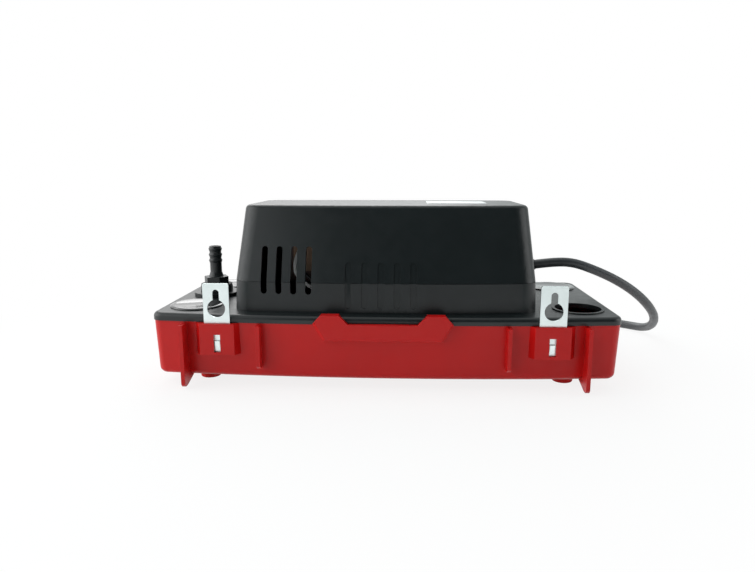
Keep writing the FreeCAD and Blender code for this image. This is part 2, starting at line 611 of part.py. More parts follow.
def make_pocket(body, middle):
    """A bevelled boss with a pocket for the hanger strip and a window for its tongue."""
    wide, narrow = "(pocket_half + pocket_bevel)", "pocket_half"
    root = "-(lid_half_width - tank_wall / 2)"
    pad(body, "XY_Plane", "pocket_low", RIM_LOW + " - slip_gap",
        (polygon, (middle + " - " + wide, root), (middle + " + " + wide, root),
         (middle + " + " + wide, "-(%s - pocket_wall - pocket_bevel)" % POCKET_FACE),
         (middle + " + " + narrow, "-" + POCKET_FACE), (middle + " - " + narrow, "-" + POCKET_FACE),
         (middle + " - " + wide, "-(%s - pocket_wall - pocket_bevel)" % POCKET_FACE)))
    room = "(hanger_width / 2 + hanger_gap)"
    pocket(body, "XY_Plane", "pocket_low + pocket_floor", RIM_LOW,
           (rectangle, middle + " - " + room, middle + " + " + room,
            "-(%s + hanger_gap)" % HANGER_FAR, "-(%s - hanger_gap)" % HANGER_NEAR))
    pocket(body, "XZ_Plane", "-(%s + 1)" % POCKET_FACE, "-" + HANGER_FAR,
           (rectangle, middle + " - window_half", middle + " + window_half", "window_low", "window_top"))


def make_latch(body, sign):
    """A plate on the tank wall whose two tabs stand over the rim and hook on the deck."""
    face, clear = "wall_plane", "(lid_half_width + wall_bow + slip_gap)"
    near, far = (face, clear) if sign else (clear, face)
    shape = [("latch_bottom_half", "latch_low"), ("latch_half", "latch_shoulder"), ("tab_outer", "latch_top"),
             ("tab_inner", "latch_top"), ("tab_foot", "latch_shoulder")]
    mirrored = [("-" + across, up) for across, up in reversed(shape)]
    pad(body, "XZ_Plane", sign + near, sign + far, (polygon,) + tuple(shape + mirrored))
    edge_plane = size_of(sign + face)
    middle = size_of("latch_shoulder")
    wide = size_of("latch_half")

    def lower_edge(edge):
        box = edge.BoundBox
        on_face = abs(box.YMin - edge_plane) < 0.01 and abs(box.YMax - edge_plane) < 0.01
        return on_face and box.ZMin < middle - 1 and box.XLength > 1 and abs(edge.CenterOfMass.x) < wide

    soften(body, "Chamfer", "latch_bevel", lower_edge)
    root = "(lid_half_width)"
    near, far = (clear, root) if sign else (root, clear)
    pad(body, "XZ_Plane", sign + near, sign + far,
        (polygon, ("-latch_bottom_half", "latch_low"), ("latch_bottom_half", "latch_low"),
         ("latch_half - latch_taper", RIM_LOW + " - slip_gap"),
         ("-latch_half + latch_taper", RIM_LOW + " - slip_gap")))
    hook = "(%s - latch_hook)" % clear
    near, far = (clear, hook) if sign else (hook, clear)
    tab_low = LID_TOP + " + slip_gap"
    for ends in (("tab_inner", "tab_outer"), ("-tab_outer", "-tab_inner")):
        pad(body, "XZ_Plane", sign + near, sign + far, (rectangle, *ends, tab_low, "latch_top"))


def make_deck():
    """The lid that carries everything: rim, locating rib, inlets, outlet socket and motor posts."""
    body = new_body("deck")
    pad(body, "XY_Plane", RIM_LOW, LID_TOP,
        (outline, "lid_half_length", "lid_half_width", "wall_bow", "lid_corner"))
    soften(body, "Fillet", "lid_round", level(LID_TOP))
    pocket(body, "XY_Plane", RIM_LOW, LID_UNDER,
           (outline, "lid_half_length - skirt_wall", "lid_half_width - skirt_wall", "wall_bow",
            "lid_corner - skirt_wall"))
    rib = "(lid_overhang + tank_wall + slip_gap)"
    pad(body, "XY_Plane", RIM_LOW + " - locating_depth", LID_UNDER,
        (outline, "lid_half_length - " + rib, "lid_half_width - " + rib, "wall_bow",
         "tank_corner - tank_wall"),
        (outline, "lid_half_length - %s - locating_wall" % rib, "lid_half_width - %s - locating_wall" % rib,
         "wall_bow", "tank_corner - tank_wall - locating_wall"))
    inlets = [(x + "inlet_x", y + "inlet_y") for x in ("", "-") for y in ("", "-")]
    pad(body, "XY_Plane", LID_UNDER, RIM_TOP, (circle, "inlet_x", "-inlet_y", "inlet_radius + inlet_rim"))
    pocket(body, "XY_Plane", RIM_LOW, RIM_TOP, *[(circle, *inlet, "inlet_radius") for inlet in inlets])
    flange_top = "%s + valve_flange_height" % LID_TOP
    socket_top = "%s + valve_ring_height" % flange_top
    pad(body, "XY_Plane", LID_UNDER, flange_top, (circle, "-valve_x", "0", "valve_flange"))
    pad(body, "XY_Plane", LID_UNDER, socket_top, (circle, "-valve_x", "0", "valve_ring"))
    spigot_end = LID_UNDER + " - spigot_length"
    pad(body, "XY_Plane", spigot_end, LID_UNDER, (circle, "-valve_x", "0", "spigot_radius"))
    pocket(body, "XY_Plane", LID_TOP, socket_top, (circle, "-valve_x", "0", "valve_bore"))
    pocket(body, "XY_Plane", spigot_end, LID_TOP, (circle, "-valve_x", "0", "seat_bore"))
    pad(body, "XY_Plane", LID_UNDER, LOWER_BRACKET,
        *[(circle, "-pump_x", side + "post_y", "post_radius") for side in ("", "-")])
    guide_top = LID_TOP + " + guide_height"
    pad(body, "XY_Plane", LID_UNDER, guide_top, (circle, "float_x", "0", "stem_rod + guide_wall"))
    pocket(body, "XY_Plane", LID_UNDER, guide_top, (circle, "float_x", "0", "stem_rod + slip_gap"))
    holes = [(circle, "-pump_x", "0", "shaft_radius + shaft_room")]
    holes += [(circle, "-pump_x", side + NECK_SCREW_Y, "screw_hole") for side in ("", "-")]
    holes += [(circle, *place, "screw_hole") for place in COVER_SCREWS]
    pocket(body, "XY_Plane", LID_UNDER, LID_TOP, *holes)
    keep("deck", body)


def cover_sections(inset, low, high):
    """Three outlines of the cover, inset by a wall, from its base over the crease to its top."""
    base = ("cover_half_length - %s" % inset, "cover_half_width - %s" % inset, "cover_bow",
            "cover_corner - %s" % inset)
    crease = ("cover_half_length - cover_lean - %s" % inset, "cover_half_width - cover_lean - %s" % inset,
              "cover_bow", "cover_corner - %s" % inset)
    top = ("top_half_length - %s" % inset, "top_half_width - %s" % inset, "top_bow",
           "cover_corner - %s" % inset)
    return ((low,) + base, ("cover_seam",) + crease), (("cover_seam",) + crease, (high,) + top)


def make_cover():
    """The motor cover: a two-stage shell with open slots, blind slots and four screw bosses."""
    body = new_body("cover_shell")
    for sections in cover_sections("0", LID_TOP, "cover_top"):
        loft(body, "AdditiveLoft", *sections)
    soften(body, "Fillet", "top_round", level("cover_top"))
    for sections in cover_sections("cover_wall", LID_TOP, "cover_top - cover_wall"):
        loft(body, "SubtractiveLoft", *sections)
    pad(body, "XY_Plane", LID_TOP, "cover_seam", *[(circle, *place, "cover_boss") for place in COVER_SCREWS])
    pocket(body, "XY_Plane", LID_TOP, LID_TOP + " + 4 * head_height",
           *[(circle, *place, "screw_radius") for place in COVER_SCREWS])
    vents = [(slot, "-vent_first + %d * vent_pitch" % number, "vent_low", "vent_top", "vent_half")
             for number in range(int(size_of("vent_count")))]
    pocket(body, "XZ_Plane", "-cover_half_width - 2 * cover_bow", "-top_half_width + 2 * cover_wall", *vents)
    pocket(body, "YZ_Plane", "relief_inner", "cover_half_length",
           (circle, "cord_y", HOLE_Z, "relief_neck + 3 * slip_gap"))
    # The blind slots and the crease follow the wall: their tool lies within a thin skin of it
    skin = new_body("cover_skin")
    for sections in cover_sections("0", LID_TOP, "cover_top"):
        loft(skin, "AdditiveLoft", *sections)
    for sections in cover_sections("blind_depth", LID_TOP, "cover_top - blind_depth"):
        loft(skin, "SubtractiveLoft", *sections)
    prisms = new_body("blind_prisms")
    shapes = [(slot, "-blind_first + %d * blind_pitch" % number, "blind_low", "blind_top", "vent_half")
              for number in range(int(size_of("blind_count")))]
    pad(prisms, "XZ_Plane", "-cover_half_width - 2 * cover_bow", "-top_half_width", *shapes)
    band = new_body("crease_band")
    pad(band, "XY_Plane", "cover_seam - seam_groove / 2", "cover_seam + seam_groove / 2",
        (rectangle, "-lid_half_length", "lid_half_length", "-lid_half_width", "lid_half_width"))
    cutters = document.addObject("Part::MultiFuse", "cover_cutters")
    cutters.Shapes = [prisms, band]
    tool = document.addObject("Part::Common", "cover_grooves")
    tool.Base, tool.Tool = cutters, skin
    cover = document.addObject("Part::Cut", "motor_cover")
    cover.Base, cover.Tool = body, tool
    keep("motor_cover", cover)


def make_small_casing_parts():
    """Feet, inlet plugs and the blank label."""
    for end, x in (("left", "-"), ("right", "")):
        for face, y in (("rear", "-"), ("front", "")):
            body = new_body("foot_%s_%s" % (face, end))
            turned(body, ("0", "0"), ("foot_radius - edge_bevel", "0"), ("foot_radius", "edge_bevel"),
                   ("foot_radius", "foot_height"), ("0", "foot_height"))
            keep("foot_%s_%s" % (face, end), body, (x + "foot_x", y + "foot_y", "0"))
            if (end, face) == ("right", "rear"):
                continue
            plug = new_body("inlet_plug_%s_%s" % (face, end))
            spigot = "inlet_radius - slip_gap"
            turned(plug, (spigot + " - plug_wall", "-plug_skirt"), (spigot, "-plug_skirt"), (spigot, "0"),
                   ("plug_flange", "0"), ("plug_flange", "plug_height / 2"),
                   ("plug_flange - edge_bevel", "plug_height"), ("plug_dish + edge_bevel", "plug_height"),
                   ("plug_dish", "plug_height / 2"), ("0", "plug_height / 2"), ("0", "-plug_wall"),
                   (spigot + " - plug_wall", "-plug_wall"))
            keep("inlet_plug_%s_%s" % (face, end), plug, (x + "inlet_x", y + "inlet_y", LID_TOP))
    label = new_body("blank_label")
    pad(label, "XY_Plane", "cover_top", "cover_top + label_sheet",
        (rectangle, "label_x - label_half_length", "label_x + label_half_length", "-label_half_width",
         "label_half_width"))
    keep("blank_label", label)


def make_hangers():
    """Two zinc strips with keyholes; a lanced tongue catches under each pocket's window."""
    for end, x in (("left", "-"), ("right", "")):
        body = new_body("hanger_" + end)
        low = "pocket_low + pocket_floor"
        half = "hanger_width / 2"
        pad(body, "XZ_Plane", "-" + HANGER_FAR, "-" + HANGER_NEAR,
            (rectangle, "-" + half, half, low, "hanger_top"))
        top = size_of("hanger_top")
        soften(body, "Fillet", "hanger_corner",
               lambda edge: edge.BoundBox.YLength > 0.5 and abs(edge.CenterOfMass.z - top) < 0.01)
        pocket(body, "XZ_Plane", "-" + HANGER_FAR, "-" + HANGER_NEAR,
               (circle, "0", "keyhole_height", "keyhole_radius"))
        pocket(body, "XZ_Plane", "-" + HANGER_FAR, "-" + HANGER_NEAR,
               (slot, "0", "keyhole_height", "keyhole_top", "keyhole_slot"))
        tongue_top = "window_top - hanger_travel"
        pad(body, "YZ_Plane", "-tongue_half", "tongue_half",
            (polygon, ("-%s" % HANGER_FAR, "tongue_low"), ("-(%s + tongue_reach)" % HANGER_FAR, tongue_top),
             ("-%s" % HANGER_FAR, tongue_top)))
        keep("hanger_" + end, body, (x + "hanger_x", "0", "0"))


# Outlet and check ball

def make_outlet():
    """The barbed hose connector with its hexagon, sealing washer and check ball."""
    washer_low = "(%s - valve_washer)" % HEX_LOW
    at = ("-valve_x", "0", "0")
    ring("valve_washer", "valve_ring - washer_inset", "valve_bore", washer_low, HEX_LOW, at)
    body = new_body("hose_barb")
    chamber = "(ball_radius + ball_room)"
    hex_top = "(%s + hex_height)" % HEX_LOW
    room_top = "(%s + slip_gap + ball_radius * 2 + ball_travel + ball_room - seat_bore)" % LID_TOP
    spigot_low = "(%s + ball_room)" % LID_TOP
    barbs = [(chamber, spigot_low), ("valve_bore - slip_gap / 3", spigot_low),
             ("valve_bore - slip_gap / 3", HEX_LOW), ("hex_flats / 2", HEX_LOW), ("hex_flats / 2", hex_top),
             ("barb_root", hex_top), ("stem_radius", hex_top + " + barb_foot")]
    stem_top = "%s + stem_height" % hex_top
    for number in (3, 2, 1):
        crest = "%s - %d * barb_pitch + barb_crest" % (stem_top, number)
        barbs += [("stem_radius", crest + " - barb_pitch / 2"), ("barb_radius", crest),
                  ("stem_radius", crest + " + barb_back")]
    barbs += [("stem_radius", stem_top), ("barb_bore", stem_top), ("barb_bore", room_top + " + bore_taper"),
              (chamber, room_top)]
    turned(body, *barbs)
    corner = "hex_flats / 2 / cos(30)"
    hexagon = [(corner + " * cos(%d)" % turn, corner + " * sin(%d)" % turn) for turn in range(0, 360, 60)]
    pad(body, "XY_Plane", HEX_LOW, hex_top, (polygon,) + tuple(hexagon), (circle, "0", "0", chamber))
    keep("hose_barb", body, at)
    ball = document.addObject("Part::Sphere", "check_ball")
    ball.setExpression("Radius", bound("ball_radius"))
    rise = "sqrt(ball_radius ^ 2 - seat_bore ^ 2)"
    keep("check_ball", ball, ("-valve_x", "0", "%s + %s + slip_gap" % (LID_TOP, rise)))


# Motor and pump

def make_motor():
    """A shaded-pole motor: stack, coil, rotor, shaft, bushes, brackets and fan."""
    at = ("-pump_x", "0", "0")
    stack = new_body("stator_core")
    pad(stack, "XY_Plane", "stator_low", "stator_top",
        (rectangle, "-stator_left", "stator_right", "-stator_half", "stator_half"),
        (rectangle, "-stator_left + coil_leg", "-window_right", "-stator_window", "stator_window"),
        (circle, "0", "0", "rotor_radius + air_gap"),
        *[(circle, "0", side + "stator_screw_y", "screw_hole") for side in ("", "-")])
    keep("stator_core", stack, at)
    leg = "(-stator_left + coil_leg / 2)"
    core = "(coil_leg / 2 + slip_gap)"
    height = "(stator_height / 2 + slip_gap)"
    middle = "(stator_low + stator_height / 2)"

    def coil_body(label, inner, outer, low, high):
        made = new_body(label)
        loops = []
        for extra in ("(%s)" % outer, "(%s)" % inner):
            loops.append((rectangle, "%s - %s - %s" % (leg, core, extra), "%s + %s + %s" % (leg, core, extra),
                          "%s - %s - %s" % (middle, height, extra), "%s + %s + %s" % (middle, height, extra)))
        pad(made, "XZ_Plane", low, high, *loops)
        return made

    flange = "bobbin_wall"
    end = "(stator_window - slip_gap)"
    bobbin = coil_body("coil_bobbin", "0", "bobbin_wall", "-" + end, end)
    for low, high in (("-" + end, "-%s + %s" % (end, flange)), ("%s - %s" % (end, flange), end)):
        loops = []
        for extra in ("(bobbin_wall + winding_depth)", "0"):
            loops.append((rectangle, "%s - %s - %s" % (leg, core, extra), "%s + %s + %s" % (leg, core, extra),
                          "%s - %s - %s" % (middle, height, extra), "%s + %s + %s" % (middle, height, extra)))
        pad(bobbin, "XZ_Plane", low, high, *loops)
    keep("coil_bobbin", bobbin, at)
    winding = coil_body("coil_winding", "bobbin_wall", "bobbin_wall + winding_depth - winding_inset",
                        "-%s + %s" % (end, flange), "%s - %s" % (end, flange))
    keep("coil_winding", winding, at)
    ring("rotor", "rotor_radius", "shaft_radius", "stator_low + rotor_inset", "stator_top - rotor_inset", at)
    shaft = new_body("motor_shaft")
    turned(shaft, ("0", "shaft_low"), ("shaft_radius", "shaft_low"), ("shaft_radius", "shaft_top"),
           ("0", "shaft_top"))
    keep("motor_shaft", shaft, at)
    upper_top = "(stator_top + bracket_sheet)"
    make_bracket("lower", LOWER_BRACKET, "stator_low", "stator_low - bush_length", "post_y + post_radius")
    make_bracket("upper", "stator_top", upper_top, "stator_top + bush_length",
                 "stator_screw_y + bracket_half")
    screws = new_body("stator_screws")
    for side in ("", "-"):
        pad(screws, "XY_Plane", LOWER_BRACKET + " - head_height", upper_top,
            (circle, "0", side + "stator_screw_y", "screw_radius"))
        pad(screws, "XY_Plane", upper_top, upper_top + " + head_height",
            (circle, "0", side + "stator_screw_y", "screw_head"))
    keep("stator_screws", screws, at)
    screws = new_body("motor_mount_screws")
    for side in ("", "-"):
        pad(screws, "XY_Plane", "stator_low", "stator_low + head_height",
            (circle, "0", side + "post_y", "screw_head"))
        pad(screws, "XY_Plane", LOWER_BRACKET, "stator_low", (circle, "0", side + "post_y", "screw_radius"))
    keep("motor_mount_screws", screws, at)
    fan = new_body("cooling_fan")
    disc_top, fan_top = "fan_low + blade_wall", "fan_low + fan_height"
    turned(fan, ("shaft_radius", "fan_low"), ("fan_radius", "fan_low"), ("fan_radius", disc_top),
           ("hub_radius", disc_top), ("hub_radius", fan_top), ("shaft_radius", fan_top))
    blade = pad(fan, "XY_Plane", disc_top, fan_top,
                (rectangle, "hub_radius - blade_root", "fan_radius", "-blade_wall / 2", "blade_wall / 2"))
    repeat_round(fan, blade, "fan_blades")
    keep("cooling_fan", fan, at)


def make_bracket(name, low, high, boss_end, reach):
    """A bearing bracket across the stack, with a boss that holds a bronze bush."""
    at = ("-pump_x", "0", "0")
    body = new_body("%s_bracket" % name)
    pad(body, "XY_Plane", low, high, (rectangle, "-bracket_half", "bracket_half", "-(%s)" % reach, reach))
    start, end = (boss_end, high) if name == "lower" else (low, boss_end)
    pad(body, "XY_Plane", start, end, (circle, "0", "0", "boss_radius"))
    pocket(body, "XY_Plane", start, end, (circle, "0", "0", "bush_radius"))
    holes = [(circle, "0", side + "stator_screw_y", "screw_hole") for side in ("", "-")]
    if name == "lower":
        holes += [(circle, "0", side + "post_y", "screw_hole") for side in ("", "-")]
    pocket(body, "XY_Plane", low, high, *holes)
    keep("%s_bracket" % name, body, at)
    ring("%s_bush" % name, "bush_radius", "shaft_radius + run_gap", start, end, at)


def make_pump():
    """The centrifugal pump under the deck: volute with neck, bottom plate, impeller and hose."""
    at = ("-pump_x", "0", "0")
    volute_top = "(volute_low + volute_height)"
    body = new_body("volute")
    bore = "shaft_radius + shaft_room"
    neck_bore = "neck_radius - neck_wall"
    seat = "(%s - volute_wall)" % LID_UNDER
    turned(body, ("volute_radius - volute_wall", "volute_low"), ("volute_radius", "volute_low"),
           ("volute_radius", volute_top), ("neck_radius", volute_top), ("neck_radius", seat),
           ("neck_flange", seat), ("neck_flange", LID_UNDER), (neck_bore, LID_UNDER),
           (neck_bore, volute_top), (bore, volute_top), (bore, volute_top + " - volute_wall"),
           ("volute_radius - volute_wall", volute_top + " - volute_wall"))
    inner = "-volute_radius + volute_wall / 2"
    pad(body, "YZ_Plane", "-outlet_reach", inner, (circle, "0", "outlet_height", "spigot_radius"))
    pocket(body, "YZ_Plane", "-outlet_reach", "-volute_radius + 2 * volute_wall",
           (circle, "0", "outlet_height", "seat_bore"))
    drains = [(circle, "0", "(%s + %s) / 2" % (volute_top, LID_UNDER), "neck_wall * 2")]
    pocket(body, "YZ_Plane", "-neck_radius", "neck_radius", *drains)
    pocket(body, "XY_Plane", seat, LID_UNDER,
           *[(circle, "0", side + NECK_SCREW_Y, "screw_hole") for side in ("", "-")])
    keep("volute", body, at)
    screws = new_body("volute_screws")
    for side in ("", "-"):
        pad(screws, "XY_Plane", seat + " - head_height", seat,
            (circle, "0", side + NECK_SCREW_Y, "screw_head"))
        pad(screws, "XY_Plane", seat, LID_TOP + " + head_height",
            (circle, "0", side + NECK_SCREW_Y, "screw_radius"))
    keep("volute_screws", screws, at)
    plate = new_body("strainer_plate")
    pad(plate, "XY_Plane", "volute_low - strainer_sheet", "volute_low",
        (circle, "0", "0", "volute_radius"), (circle, "0", "0", "eye_radius"))
    lug = pad(plate, "XY_Plane", TANK_FLOOR, "volute_low - strainer_sheet",
              (circle, "volute_radius - 2 * volute_wall", "0", "volute_wall"))
    repeat_round(plate, lug, "strainer_lugs")
    keep("strainer_plate", plate, at)
    wheel = new_body("impeller")
    disc_top = "(%s - volute_wall - impeller_gap)" % volute_top
    vane_low = "(volute_low + impeller_gap)"
    disc_low = disc_top + " - impeller_plate"
    hub = "hub_radius - impeller_gap"
    turned(wheel, ("shaft_radius", vane_low), (hub, vane_low), (hub, disc_low), ("impeller_radius", disc_low),
           ("impeller_radius", disc_top), ("shaft_radius", disc_top))
    vane = pad(wheel, "XY_Plane", vane_low, disc_low,
               (rectangle, hub + " - blade_root", "impeller_radius", "-blade_wall / 2", "blade_wall / 2"))
    repeat_round(wheel, vane, "impeller_vanes")
    keep("impeller", wheel, at)
    make_hose()


def make_hose():
    """The hose from the volute's spigot to the outlet's spigot: one bend under the outlet."""
    height, bend = size_of("outlet_height"), size_of("hose_bend")
    start = size_of("-pump_x - volute_radius - 3 * volute_wall")
    end_x, top = size_of("-valve_x"), size_of(LID_UNDER)
    inner = size_of("spigot_radius + run_gap")
    outer = inner + size_of("hose_wall")
    bend = min(bend, top - height)
    corner = bend * (1 - math.sqrt(0.5))
    first = FreeCAD.Vector(end_x + bend, 0, height)
    middle = FreeCAD.Vector(end_x + corner, 0, height + corner)
    last = FreeCAD.Vector(end_x, 0, height + bend)
    lines = [Part.LineSegment(FreeCAD.Vector(start, 0, height), first), Part.Arc(first, middle, last)]
    if top - height - bend > 0.1:
        lines.append(Part.LineSegment(last, FreeCAD.Vector(end_x, 0, top)))
    path = Part.Wire([line.toShape() for line in lines])
    tubes = []
    for radius in (outer, inner):
        circle_line = Part.makeCircle(radius, FreeCAD.Vector(start, 0, height), FreeCAD.Vector(-1, 0, 0))
        tubes.append(path.makePipeShell([Part.Wire(circle_line)], True, False))
    hose = document.addObject("Part::Feature", "inner_hose")
    hose.Shape = tubes[0].cut(tubes[1])
    keep("inner_hose", hose)


# Float and switch

def make_float():
    """The float, its stem with a stop collar, the rocker, and the switch that it works."""
    at = ("float_x", "0", "0")
    float_top = "(float_low + float_height)"
    body = new_body("float")
    pad(body, "XY_Plane", "float_low", float_top,
        (rectangle, "-float_half_length", "float_half_length", "-float_half_width", "float_half_width"))
    soften(body, "Fillet", "float_round", lambda edge: True)
    pocket(body, "XY_Plane", float_top + " - float_round", float_top, (circle, "0", "0", "stem_rod"))
    keep("float", body, at)
    stem = new_body("float_stem")
    tip = "(rocker_height - rocker_sheet / 2 - slip_gap)"
    collar = "(%s + guide_height)" % LID_TOP
    root, collar_top = float_top + " - float_round", collar + " + collar_height"
    turned(stem, ("0", root), ("stem_rod", root), ("stem_rod", collar), ("stem_rod + guide_wall", collar),
           ("stem_rod + guide_wall", collar_top), ("stem_rod", collar_top), ("stem_rod", tip), ("0", tip))
    soften(stem, "Fillet", "stem_rod - slip_gap / 3", level(tip))
    keep("float_stem", stem, at)
    rocker = new_body("switch_rocker")
    thick = "rocker_sheet / 2"
    left, right = "-plunger_arm - plunger_radius", "rocker_arm + stem_rod"
    pad(rocker, "XZ_Plane", "-rocker_half", "rocker_half",
        (rectangle, left, right, "rocker_height - " + thick, "rocker_height + " + thick))
    pad(rocker, "XZ_Plane", "-rocker_half", "rocker_half", (circle, "0", "rocker_height", "rocker_hub"))
    pocket(rocker, "XZ_Plane", "-rocker_half", "rocker_half",
           (circle, "0", "rocker_height", "pin_radius + run_gap"))
    keep("switch_rocker", rocker, (PIVOT_X, "0", "0"))
    ear = "(switch_half + ear_gap)"
    pin = new_body("rocker_pin")
    reach = "%s + ear_sheet + pin_end" % ear
    pad(pin, "XZ_Plane", "-(%s)" % reach, reach, (circle, "0", "rocker_height", "pin_radius"))
    keep("rocker_pin", pin, (PIVOT_X, "0", "0"))
    bracket = new_body("switch_bracket")
    foot_top = "(%s + ear_sheet)" % LID_TOP
    far = "(%s + ear_sheet + ear_foot)" % ear
    pad(bracket, "XY_Plane", LID_TOP, foot_top, (rectangle, "-ear_half", "ear_half", "-" + far, far))
    for low, high in (("-%s - ear_sheet" % ear, "-" + ear), (ear, "%s + ear_sheet" % ear)):
        pad(bracket, "XZ_Plane", low, high,
            (rectangle, "-ear_half", "ear_half", foot_top, "rocker_height + rocker_hub"))
        pocket(bracket, "XZ_Plane", low, high, (circle, "0", "rocker_height", "pin_radius"))
    screw_y = "(%s + ear_sheet + ear_screw)" % ear
    pocket(bracket, "XY_Plane", LID_TOP, foot_top,
           *[(circle, "0", side + screw_y, "screw_hole") for side in ("", "-")])
    keep("switch_bracket", bracket, (PIVOT_X, "0", "0"))
    screws = new_body("bracket_screws")
    for side in ("", "-"):
        pad(screws, "XY_Plane", LID_TOP, foot_top, (circle, "0", side + screw_y, "screw_radius"))
        pad(screws, "XY_Plane", foot_top, foot_top + " + head_height",
            (circle, "0", side + screw_y, "screw_head"))
    keep("bracket_screws", screws, (PIVOT_X, "0", "0"))
    make_switch(foot_top)


def make_switch(seat):
    """The snap switch between the bracket's ears, and its plunger under the rocker."""
    body = new_body("snap_switch")
    top = "(%s + switch_height)" % seat
    left = "(plunger_arm / 2 - switch_length / 2 - switch_shift)"
    pad(body, "XZ_Plane", "-switch_half", "switch_half",
        (rectangle, left, "%s + switch_length" % left, seat, top))
    pocket(body, "XY_Plane", top + " - plunger_socket", top, (circle, "0", "0", "plunger_radius + run_gap"))
    keep("snap_switch", body, (PLUNGER_X, "0", "0"))
    plunger = new_body("switch_plunger")
    tip = "(rocker_height - rocker_sheet / 2 - plunger_gap)"
    root = top + " - plunger_root"
    turned(plunger, ("0", root), ("plunger_radius", root), ("plunger_radius", tip), ("0", tip))
    soften(plunger, "Fillet", "plunger_radius * 0.9", level(tip))
    keep("switch_plunger", plunger, (PLUNGER_X, "0", "0"))


# Screws, cord and plug

def make_cover_screws():
    """Four screws up through the deck into the cover's bosses."""
    screws = new_body("cover_screws")
    for place in COVER_SCREWS:
        pad(screws, "XY_Plane", LID_UNDER + " - head_height", LID_UNDER, (circle, *place, "screw_head"))
        pad(screws, "XY_Plane", LID_UNDER, LID_TOP + " + 3 * head_height", (circle, *place, "screw_radius"))
    keep("cover_screws", screws)


def tube_along(points, radius):
    """A round tube on straight runs joined by arcs, each as large as its two runs allow."""
    corners = [FreeCAD.Vector(*point) for point in points]
    lines, radii, start = [], [], corners[0]
    for before, corner, after in zip(corners, corners[1:], corners[2:]):
        back, ahead = (before - corner), (after - corner)
        shorter = min(back.Length, ahead.Length)
        back.normalize()
        ahead.normalize()
        turn = math.pi - back.getAngle(ahead)
        reach = 0.45 * shorter
        bend = reach / math.tan(turn / 2)
        radii.append(bend)
        first, last = corner + back * reach, corner + ahead * reach
        bisector = back + ahead
        bisector.normalize()
        middle = corner + bisector * (bend / math.cos(turn / 2) - bend)
        lines += [Part.LineSegment(start, first), Part.Arc(first, middle, last)]
        start = last
    lines.append(Part.LineSegment(start, corners[-1]))
    path = Part.Wire([line.toShape() for line in lines])
    profile = Part.Wire(Part.makeCircle(radius, corners[0], corners[1] - corners[0]))
    tube = path.makePipeShell([profile], True, False)
    expected = math.pi * radius ** 2 * path.Length
    print("tube: radii %s, length %.1f, volume over section times length %.4f" % (
        " ".join("%.0f" % bend for bend in radii), path.Length, tube.Volume / expected))
    return tube


def add_tube(label, points, radius):
    tube = document.addObject("Part::Feature", label)
    tube.Shape = tube_along(points, size_of(radius))
    keep(label, tube)


def make_cord():
    """The strain relief, the cord down to its coil on the floor, and the plug beside the coil."""
    relief = new_body("strain_relief")
    seat = "(cover_wall + relief_depth + relief_grip)"
    collar_top = seat + " + relief_flange"
    turned(relief, ("0", "0"), ("relief_radius", "0"), ("relief_radius", "relief_flange"),
           ("relief_neck", "relief_flange"), ("relief_neck", seat), ("relief_radius", seat),
           ("relief_radius", collar_top), ("relief_neck + relief_step", collar_top + " + relief_end"),
           ("cord_radius + relief_end", "relief_length"), ("0", "relief_length"))
    tilt = size_of("cord_tilt")
    relief.Placement.Rotation = FreeCAD.Rotation(FreeCAD.Vector(0, 1, 0), 90 - tilt)
    keep("strain_relief", relief, ("relief_inner", "cord_y", "cord_z"))
    exit_y = size_of("cord_y")
    reaches = size_of("relief_length"), size_of("relief_length + cord_straight")
    exit_x, rise_x = (size_of("relief_inner") + reach * math.cos(math.radians(tilt)) for reach in reaches)
    exit_z, rise_z = (size_of("cord_z") + reach * math.sin(math.radians(tilt)) for reach in reaches)
    floor = size_of("cord_radius")
    near = size_of("coil_y - coil_radius - cord_radius")
    route = [(exit_x, exit_y, exit_z), (rise_x, exit_y, rise_z), (163, 25, 82.8), (182, 26, 76),
             (201, 28, 67.5), (220, 33, 56), (237, 43, 42), (250, 58, 28), (257, 77, 15), (257, 98, 6),
             (248, 117, floor), (232, 131, floor), (211, 137, floor), (189, 133, floor), (169, 122, floor),
             (148, 110, floor), (124, near + 2, floor), (99, near, floor)]
    add_tube("power_cord", route, "cord_radius")
    coil = new_body("cord_coil")
    inner, outer = "coil_radius - 2 * cord_radius", "coil_radius + 2 * cord_radius"
    high = "2 * cord_radius * coil_turns_high"
    turned(coil, (inner, "0"), (outer, "0"), (outer, high), (inner, high))
    keep("cord_coil", coil, ("coil_x", "coil_y", "0"))
    far = size_of("coil_y + coil_radius + cord_radius")
    middle = size_of("plug_thick / 2")
    back = size_of("plug_x")
    tail = [(95, far, 5 * floor - 1.5), (109, far, middle + 5), (123, far, middle), (back, far, middle)]
    add_tube("cord_tail", tail, "cord_radius")
    make_mains_plug(far, middle)


